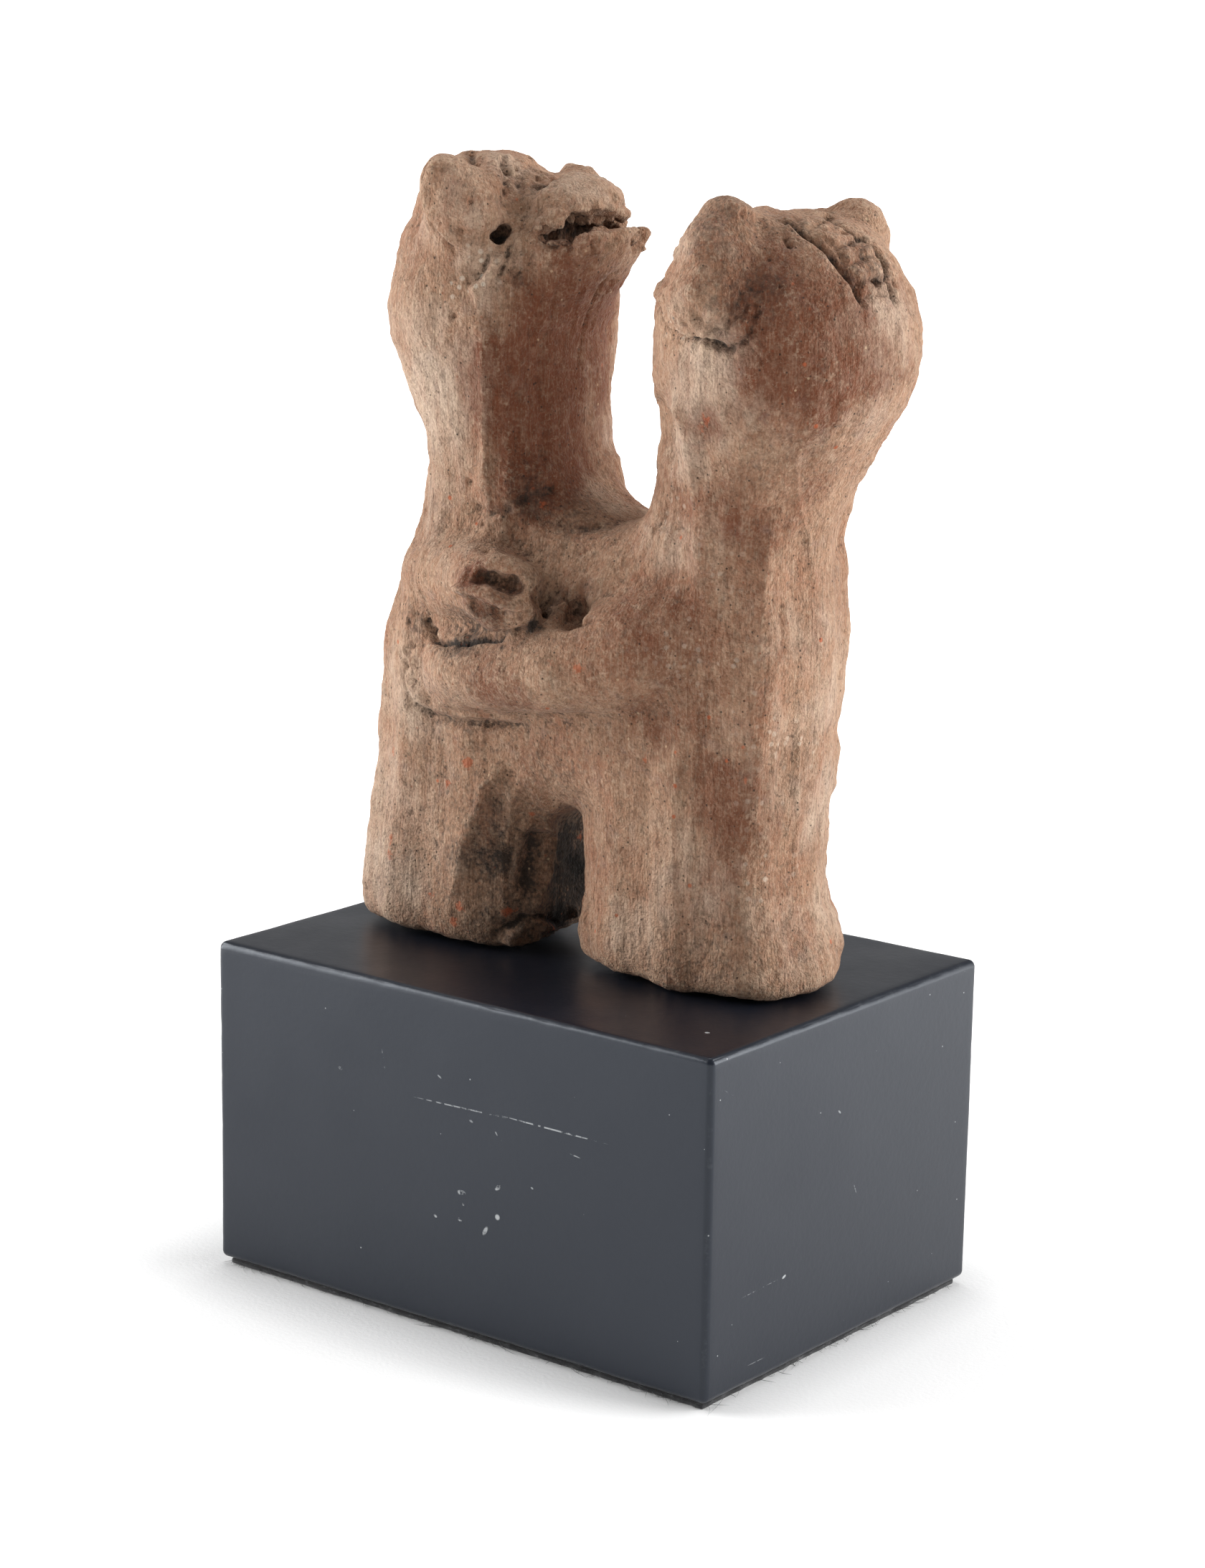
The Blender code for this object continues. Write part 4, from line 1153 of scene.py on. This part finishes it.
def terracotta(look):
    """Low-fired terracotta, hand modelled, pared and brushed, then buried: dead matt, so it shows
    only its own colour and a dusty bloom at the rim. Tan dust lies over red-brown clay, soot lies in
    patches, painted shade darkens the hollows, the grooves, the left neck's front and the arch
    between the feet, a painted highlight lightens the ridges, and brick grog and lime show as dots."""
    material, tree, surface, place = new_material("low-fired terracotta, pared by hand")
    shares = {
        name: add(tree, "Attribute", attribute_name=name).outputs["Fac"]
        for name in ("soot_and_shade", "red", "pale", "chalk", "grog", "hollow_shade_and_highlight")
    }
    colour = (*look.body, 1)
    brown = (*linear("#7d5a44"), 1)
    deep = (*linear("#483528"), 1)
    light = (*linear("#c6ae94"), 1)
    rust = (*linear("#8c563d"), 1)
    mauve = (*linear("#8c7870"), 1)
    # Each layer of noise: its feature size in mm, how it is stretched, which share is added and how
    # strongly, where it starts and is full, how much it covers, and its colour
    layers = (
        (11.0, (1, 1, 1.6), None, 0.0, 0.40, 0.62, 0.55, brown),
        (6.0, (1, 1, 1.8), None, 0.0, 0.48, 0.68, 0.48, rust),
        # Red-brown: redder clay, and painted shade on the left neck's front
        (3.5, (1, 1, 1.4), "red", 1.10, 0.60, 1.15, 0.88, (*look.red, 1)),
        (2.4, (1, 1, 2.4), "pale", 0.80, 0.68, 1.20, 0.80, (*look.tan, 1)),
        (2.4, (1, 1, 1), None, 0.0, 0.56, 0.72, 0.30, mauve),
        (0.95, (1, 1, 1), None, 0.0, 0.50, 0.70, 0.26, light),
        (0.85, (1, 1, 1.3), None, 0.0, 0.50, 0.32, 0.38, deep),
        (0.28, (1, 1, 1.6), None, 0.0, 0.50, 0.72, 0.25, light),
        (0.26, (1, 1, 1.6), None, 0.0, 0.50, 0.32, 0.36, deep),
        (0.34, (1, 1, 14), None, 0.0, 0.54, 0.74, 0.26, light),
        (0.38, (1, 1, 16), None, 0.0, 0.47, 0.28, 0.38, deep),
        (1.1, (1, 1, 12), None, 0.0, 0.52, 0.70, 0.18, rust),
        (1.6, (1, 1, 3.0), "red", 1.10, 0.80, 1.20, 0.42, (*look.red, 1)),
        # Painted shade in the hollows, and a painted highlight on the ridges, from the hollowness
        (0.6, (1, 1, 1), "hollow_shade_and_highlight", 0.16, 0.64, 0.88, 0.80, deep),
        (0.5, (1, 1, 1), "hollow_shade_and_highlight", -0.16, 0.66, 0.90, 0.36, light),
        # Soot and painted shade: the first layer greys the skin, the second goes near black where the
        # share is strongest, as in the arch's painted shade
        (0.6, (1, 1, 1), "soot_and_shade", 0.90, 0.62, 1.20, 0.96, (*look.soot_and_shade, 1)),
        (0.6, (1, 1, 1), "soot_and_shade", 0.90, 1.30, 1.60, 0.90, (*linear("#15110e"), 1)),
        (0.5, (1, 1, 1), "grog", 0.90, 0.74, 0.96, 0.62, (*look.grit, 1)),
    )
    for size, stretch, share, weight, low, high, cover, tint in layers:
        detail = 5.0 if size > 2 else 2.5
        value = pattern(tree, place, "TexNoise", size, detail, stretch).outputs["Fac"]
        if share:
            value = add(
                tree, "Math", {0: shares[share], 1: weight, 2: value}, operation="MULTIPLY_ADD"
            ).outputs[0]
        amount = add(tree, "MapRange", {0: value, 1: low, 2: high, 3: 0.0, 4: cover}).outputs[0]
        colour = add(tree, "Mix", {0: amount, 6: colour, 7: tint}, data_type="RGBA").outputs[2]
    # Grains: cell size and grain radius in mm, share of cells that have one, cover, colour, share
    pebbles = (
        (2.2, 0.36, 0.07, 0.75, (*look.grit, 1), None),
        (0.9, 0.18, 0.06, 0.55, (*linear("#7c4029"), 1), None),
        (1.3, 0.22, 0.05, 0.45, (*linear("#c9b08e"), 1), None),
        (0.7, 0.17, 0.14, 0.80, (*linear("#2b231d"), 1), None),
        (1.1, 0.40, 0.38, 0.85, (*look.chalk, 1), "chalk"),
    )
    for size, radius, share, cover, tint, where in pebbles:
        amount = dots(tree, place, size, radius, 0.6, share, cover)
        if where:
            amount = add(tree, "Math", {0: amount, 1: shares[where]}, operation="MULTIPLY").outputs[0]
        colour = add(tree, "Mix", {0: amount, 6: colour, 7: tint}, data_type="RGBA").outputs[2]
    tree.links.new(colour, surface.inputs["Base Color"])
    # Fine relief that is too small for the mesh: grit, brushed fibres and a coarser grain
    height = 0.0
    for size, stretch, weight in (
        (0.34, (1, 1, 1), 0.55),
        (0.30, (1, 1, 9), 0.30),
        (1.1, (1, 1, 1), 0.60),
    ):
        value = pattern(tree, place, "TexNoise", size, 2.5, stretch).outputs["Fac"]
        height = add(
            tree, "Math", {0: value, 1: weight, 2: height}, operation="MULTIPLY_ADD"
        ).outputs[0]
    relief = add(tree, "Bump", {"Strength": 1.0, "Distance": 0.00055, "Height": height})
    tree.links.new(relief.outputs[0], surface.inputs["Normal"])
    matt = pattern(tree, place, "TexNoise", 3.0, 4.0).outputs["Fac"]
    matt = add(tree, "MapRange", {0: matt, 1: 0.3, 2: 0.7, 3: 0.78, 4: 0.95}).outputs[0]
    tree.links.new(matt, surface.inputs["Roughness"])
    surface.inputs["IOR"].default_value = 1.5
    surface.inputs["Specular IOR Level"].default_value = 0.18
    surface.inputs["Sheen Weight"].default_value = 0.05
    surface.inputs["Sheen Roughness"].default_value = 0.5
    return material


def black_paint(look):
    """Black satin paint brushed on a sanded wood block: soft grey reflections over near black, a
    slight orange peel, paint rubbed thin on the edges with a painted highlight along them, a long
    scratch and a few chips."""
    material, tree, surface, place = new_material("black satin paint on sanded wood")
    edge = add(tree, "Attribute", attribute_name="edge").outputs["Fac"]
    colour = (*look.paint, 1)
    broken = pattern(tree, place, "TexNoise", 1.1, 6.0).outputs["Fac"]
    # Lighter grey along the edges: rubbed paint and a painted highlight
    rubbed = add(
        tree, "Math", {0: edge, 1: 0.42, 2: broken}, operation="MULTIPLY_ADD"
    ).outputs[0]
    rubbed = add(tree, "MapRange", {0: rubbed, 1: 0.92, 2: 1.20, 3: 0.0, 4: 0.40}).outputs[0]
    colour = add(tree, "Mix", {0: rubbed, 6: colour, 7: (*look.worn_and_highlight, 1)}, data_type="RGBA").outputs[2]
    # Specks of dust and pinholes: cell size, radius, share of cells, cover
    for size, radius, share, cover in ((3.0, 0.12, 0.14, 0.7), (1.6, 0.07, 0.05, 0.6)):
        amount = dots(tree, place, size, radius, 0.5, share, cover)
        colour = add(
            tree, "Mix", {0: amount, 6: colour, 7: (*look.fleck, 1)}, data_type="RGBA"
        ).outputs[2]
    # Scratches and chips, each an oval of broken noise laid on the face
    for axis, start, end, thin, gap, cover in BLOCK_MARKS:
        start, end = on_block(start, axis), on_block(end, axis)
        normal = Vector((0, 0, 0))
        normal[axis] = 1
        ahead = (end - start).normalized()
        turned = Matrix((ahead, normal.cross(ahead), normal)).transposed().to_euler()
        flat = add(
            tree, "Mapping",
            {0: place, 1: (start + end) / 2, 2: turned, 3: ((end - start).length / 2, thin * MM, MM)},
            vector_type="TEXTURE",
        ).outputs[0]
        far = add(tree, "VectorMath", {0: flat}, operation="LENGTH").outputs["Value"]
        inside = add(tree, "MapRange", {0: far, 1: 1.0, 2: 0.6, 3: 0.0, 4: 1.0}).outputs[0]
        dashes = pattern(tree, place, "TexNoise", 0.9, 6.0).outputs["Fac"]
        shown = {0: dashes, 1: gap, 2: gap + 0.08, 3: 0.0, 4: 0.85 * cover}
        dashes = add(tree, "MapRange", shown).outputs[0]
        amount = add(tree, "Math", {0: inside, 1: dashes}, operation="MULTIPLY").outputs[0]
        colour = add(
            tree, "Mix", {0: amount, 6: colour, 7: (*look.fleck, 1)}, data_type="RGBA"
        ).outputs[2]
    tree.links.new(colour, surface.inputs["Base Color"])
    peel = pattern(tree, place, "TexNoise", 0.9, 2.0).outputs["Fac"]
    brushed = pattern(tree, place, "TexNoise", 1.6, 3.0, (6, 6, 1)).outputs["Fac"]
    height = add(tree, "Math", {0: brushed, 1: 0.5, 2: peel}, operation="MULTIPLY_ADD").outputs[0]
    relief = add(tree, "Bump", {"Strength": 0.35, "Distance": 0.00005, "Height": height})
    tree.links.new(relief.outputs[0], surface.inputs["Normal"])
    satin = pattern(tree, place, "TexNoise", 9.0, 5.0).outputs["Fac"]
    satin = add(tree, "MapRange", {0: satin, 1: 0.3, 2: 0.7, 3: 0.28, 4: 0.38}).outputs[0]
    tree.links.new(satin, surface.inputs["Roughness"])
    surface.inputs["IOR"].default_value = 1.5
    surface.inputs["Specular Tint"].default_value = (0.86, 0.92, 1.0, 1)
    return material


def black_felt(look):
    """Pressed black wool felt: no gloss, a soft sheen of fibre ends, grey lint caught in it. Its
    fibres are drawn 0.15 mm thick, coarser than real wool, so that they show."""
    material, tree, surface, place = new_material("pressed black wool felt")
    fibres = pattern(tree, place, "TexNoise", 0.35, 6.0, (3, 3, 1)).outputs["Fac"]
    linty = add(tree, "MapRange", {0: fibres, 1: 0.56, 2: 0.74, 3: 0.0, 4: 0.6}).outputs[0]
    colour = add(
        tree, "Mix", {0: linty, 6: (*look.wool, 1), 7: (*look.lint, 1)}, data_type="RGBA"
    ).outputs[2]
    tree.links.new(colour, surface.inputs["Base Color"])
    relief = add(tree, "Bump", {"Strength": 0.8, "Distance": 0.0001, "Height": fibres})
    tree.links.new(relief.outputs[0], surface.inputs["Normal"])
    surface.inputs["Roughness"].default_value = 0.95
    surface.inputs["IOR"].default_value = 1.5
    surface.inputs["Sheen Weight"].default_value = 0.4
    return material


# The sweep's glow is painted light, not a lamp. In metres from the felt's edge: it rises over the first
# stretch to NEAR_GLOW, a painted shadow round the block, and from there to its full strength over the
# second
PAINTED_SHADOW_PLACE = (0.004, 0.001, 0)
PAINTED_SHADOW_END = 0.013
NEAR_GLOW = 0.28
BACKDROP_START, BACKDROP_FULL = 0.10, 0.45


def paper(look):
    """White card sweep: matt white with a faint fibre. The card glows, painted light; the glow
    fades out next to the felt, so that the block stands in a narrow, soft painted shadow."""
    material, tree, surface, place = new_material("white card sweep")
    fibre = pattern(tree, place, "TexNoise", 0.6, 4.0).outputs["Fac"]
    relief = add(tree, "Bump", {"Strength": 0.35, "Distance": 0.00015, "Height": fibre})
    tree.links.new(relief.outputs[0], surface.inputs["Normal"])
    surface.inputs["Base Color"].default_value = (*look.paper, 1)
    surface.inputs["Roughness"].default_value = 0.9
    surface.inputs["Emission Color"].default_value = (1, 1, 1, 1)
    half = (FELT_HIGH - FELT_LOW) / 2
    aside = add(tree, "Mapping", {0: place, 1: PAINTED_SHADOW_PLACE}).outputs[0]
    folded = add(tree, "VectorMath", {0: aside}, operation="ABSOLUTE").outputs[0]
    beyond = add(
        tree, "VectorMath", {0: folded, 1: (half.x, half.y, 0)}, operation="SUBTRACT"
    ).outputs[0]
    beyond = add(tree, "VectorMath", {0: beyond, 1: (0, 0, 0)}, operation="MAXIMUM").outputs[0]
    far = add(tree, "VectorMath", {0: beyond}, operation="LENGTH").outputs["Value"]
    # Painted shadow: no glow at the felt's edge, rising over the first stretch
    painted_shadow_ramp = add(
        tree, "MapRange", {0: far, 1: 0.0, 2: PAINTED_SHADOW_END, 3: 0.0, 4: NEAR_GLOW}
    ).outputs[0]
    rest = look.paper_glow - NEAR_GLOW
    # Painted light: the card far off glows at full strength
    backdrop = add(
        tree, "MapRange", {0: far, 1: BACKDROP_START, 2: BACKDROP_FULL, 3: 0.0, 4: rest}
    ).outputs[0]
    glow = add(tree, "Math", {0: painted_shadow_ramp, 1: backdrop}, operation="ADD").outputs[0]
    tree.links.new(glow, surface.inputs["Emission Strength"])
    return material


# Stage

# The sweep: how far it reaches in front and to each side, where its bend starts behind the
# object, the bend's radius and the height of its top edge
SWEEP_REACH = 8.0
BEND_START = 1.15
BEND_RADIUS = 0.16
SWEEP_TOP = 0.19


class DOUBLEFIGURE_OT_stage(bpy.types.Operator):
    """Sets the stage: white sweep, two softboxes at the sides, one overhead, and the camera"""

    bl_idname = "doublefigure.stage"
    bl_label = "Stage"

    def execute(self, context):
        look = context.scene.double_figure_stage
        scene = context.scene
        scene.view_settings.view_transform = "Standard"
        self.sweep(look)
        # Each lamp: name, bearing from the camera's side in degrees, elevation, distance, size, power
        for name, bearing, rise, far, size, power in (
            ("left softbox", -100, 16, 0.75, (0.55, 0.70), look.side_power),
            ("right softbox", 84, 16, 0.75, (0.55, 0.70), look.side_power),
            ("overhead softbox", 180, 74, 0.80, (0.60, 0.60), look.top_power),
        ):
            self.lamp(name, math.radians(bearing), math.radians(rise), far, size, power)
        world = bpy.data.worlds.new("room")
        world.use_nodes = True
        world.node_tree.nodes["Background"].inputs[0].default_value = (1, 1, 1, 1)
        world.node_tree.nodes["Background"].inputs[1].default_value = look.room
        scene.world = world
        data = bpy.data.cameras.new("camera")
        data.sensor_width = SENSOR_MM
        data.lens = FOCAL_PIXELS * SENSOR_MM / IMAGE_HEIGHT
        data.clip_start = 0.01
        camera = bpy.data.objects.new("camera", data)
        scene.collection.objects.link(camera)
        turned = np.eye(4)
        turned[:3, 0], turned[:3, 1], turned[:3, 2], turned[:3, 3] = RIGHT, UP, BACK, CAMERA_PLACE
        camera.matrix_world = Matrix(turned.tolist())
        scene.camera = camera
        return {"FINISHED"}

    def sweep(self, look):
        """A floor that rises in a quarter circle behind the object. Its section is carried sideways:
        flat, then the arc, then a short upright."""
        away = -np.array((BACK[0], BACK[1], 0)) / np.hypot(BACK[0], BACK[1])
        across = np.array((RIGHT[0], RIGHT[1], 0)) / np.hypot(RIGHT[0], RIGHT[1])
        bend = np.linspace(0, math.pi / 2, 17)
        section = [(-SWEEP_REACH, 0.0)]
        section += [
            (BEND_START + BEND_RADIUS * math.sin(a), BEND_RADIUS * (1 - math.cos(a))) for a in bend
        ]
        section += [(BEND_START + BEND_RADIUS, SWEEP_TOP)]
        sides = np.linspace(-SWEEP_REACH, SWEEP_REACH, 11)
        points = np.array(
            [away * far + across * side + (0, 0, rise) for far, rise in section for side in sides]
        )
        columns = len(sides)
        corner = (np.arange(len(section) - 1)[:, None] * columns + np.arange(columns - 1)).ravel()
        faces = np.stack([corner, corner + 1, corner + columns + 1, corner + columns], 1)
        mesh = bpy.data.meshes.new("sweep")
        mesh.from_pydata(points.tolist(), [], faces.tolist())
        mesh.polygons.foreach_set("use_smooth", np.ones(len(mesh.polygons), bool))
        mesh.materials.append(paper(look))
        floor = bpy.data.objects.new("sweep", mesh)
        bpy.context.scene.collection.objects.link(floor)

    def lamp(self, name, bearing, rise, far, size, power):
        """A rectangular softbox that faces the object, placed by its bearing from the camera."""
        turn = CAMERA_AZIMUTH + bearing
        way = Vector(
            (math.sin(turn) * math.cos(rise), -math.cos(turn) * math.cos(rise), math.sin(rise))
        )
        data = bpy.data.lights.new(name, "AREA")
        data.shape = "RECTANGLE"
        data.size, data.size_y = size
        data.energy = power
        lamp = bpy.data.objects.new(name, data)
        lamp.location = CHEST + way * far
        lamp.rotation_euler = way.to_track_quat("Z", "Y").to_euler()
        bpy.context.scene.collection.objects.link(lamp)


class DOUBLEFIGURE_PT_parts(bpy.types.Panel):
    """Lists the pieces and the sizes and colours they are made with"""

    bl_label = "Double figure"
    bl_space_type = "VIEW_3D"
    bl_region_type = "UI"
    bl_category = "Double figure"

    def draw(self, context):
        for _, operator, settings in PARTS:
            box = self.layout.box()
            box.operator(operator.bl_idname)
            group = getattr(context.scene, settings)
            for name in group.__annotations__:
                box.prop(group, name)


PARTS = (
    (StageLook, DOUBLEFIGURE_OT_stage, "double_figure_stage"),
    (ClayLook, DOUBLEFIGURE_OT_clay, "double_figure_clay"),
    (BlockLook, DOUBLEFIGURE_OT_block, "double_figure_block"),
    (FeltLook, DOUBLEFIGURE_OT_felt, "double_figure_felt"),
)


def register():
    """Registers the settings, the operators and the panel."""
    for group, operator, settings in PARTS:
        bpy.utils.register_class(group)
        bpy.utils.register_class(operator)
        setattr(bpy.types.Scene, settings, bpy.props.PointerProperty(type=group))
    bpy.utils.register_class(DOUBLEFIGURE_PT_parts)


def unregister():
    """Takes them away again."""
    bpy.utils.unregister_class(DOUBLEFIGURE_PT_parts)
    for group, operator, settings in reversed(PARTS):
        delattr(bpy.types.Scene, settings)
        bpy.utils.unregister_class(operator)
        bpy.utils.unregister_class(group)


def main():
    """Makes every piece in turn."""
    register()
    for _, operator, _ in PARTS:
        group, name = operator.bl_idname.split(".")
        getattr(getattr(bpy.ops, group), name)()


if __name__ == "__main__":
    main()
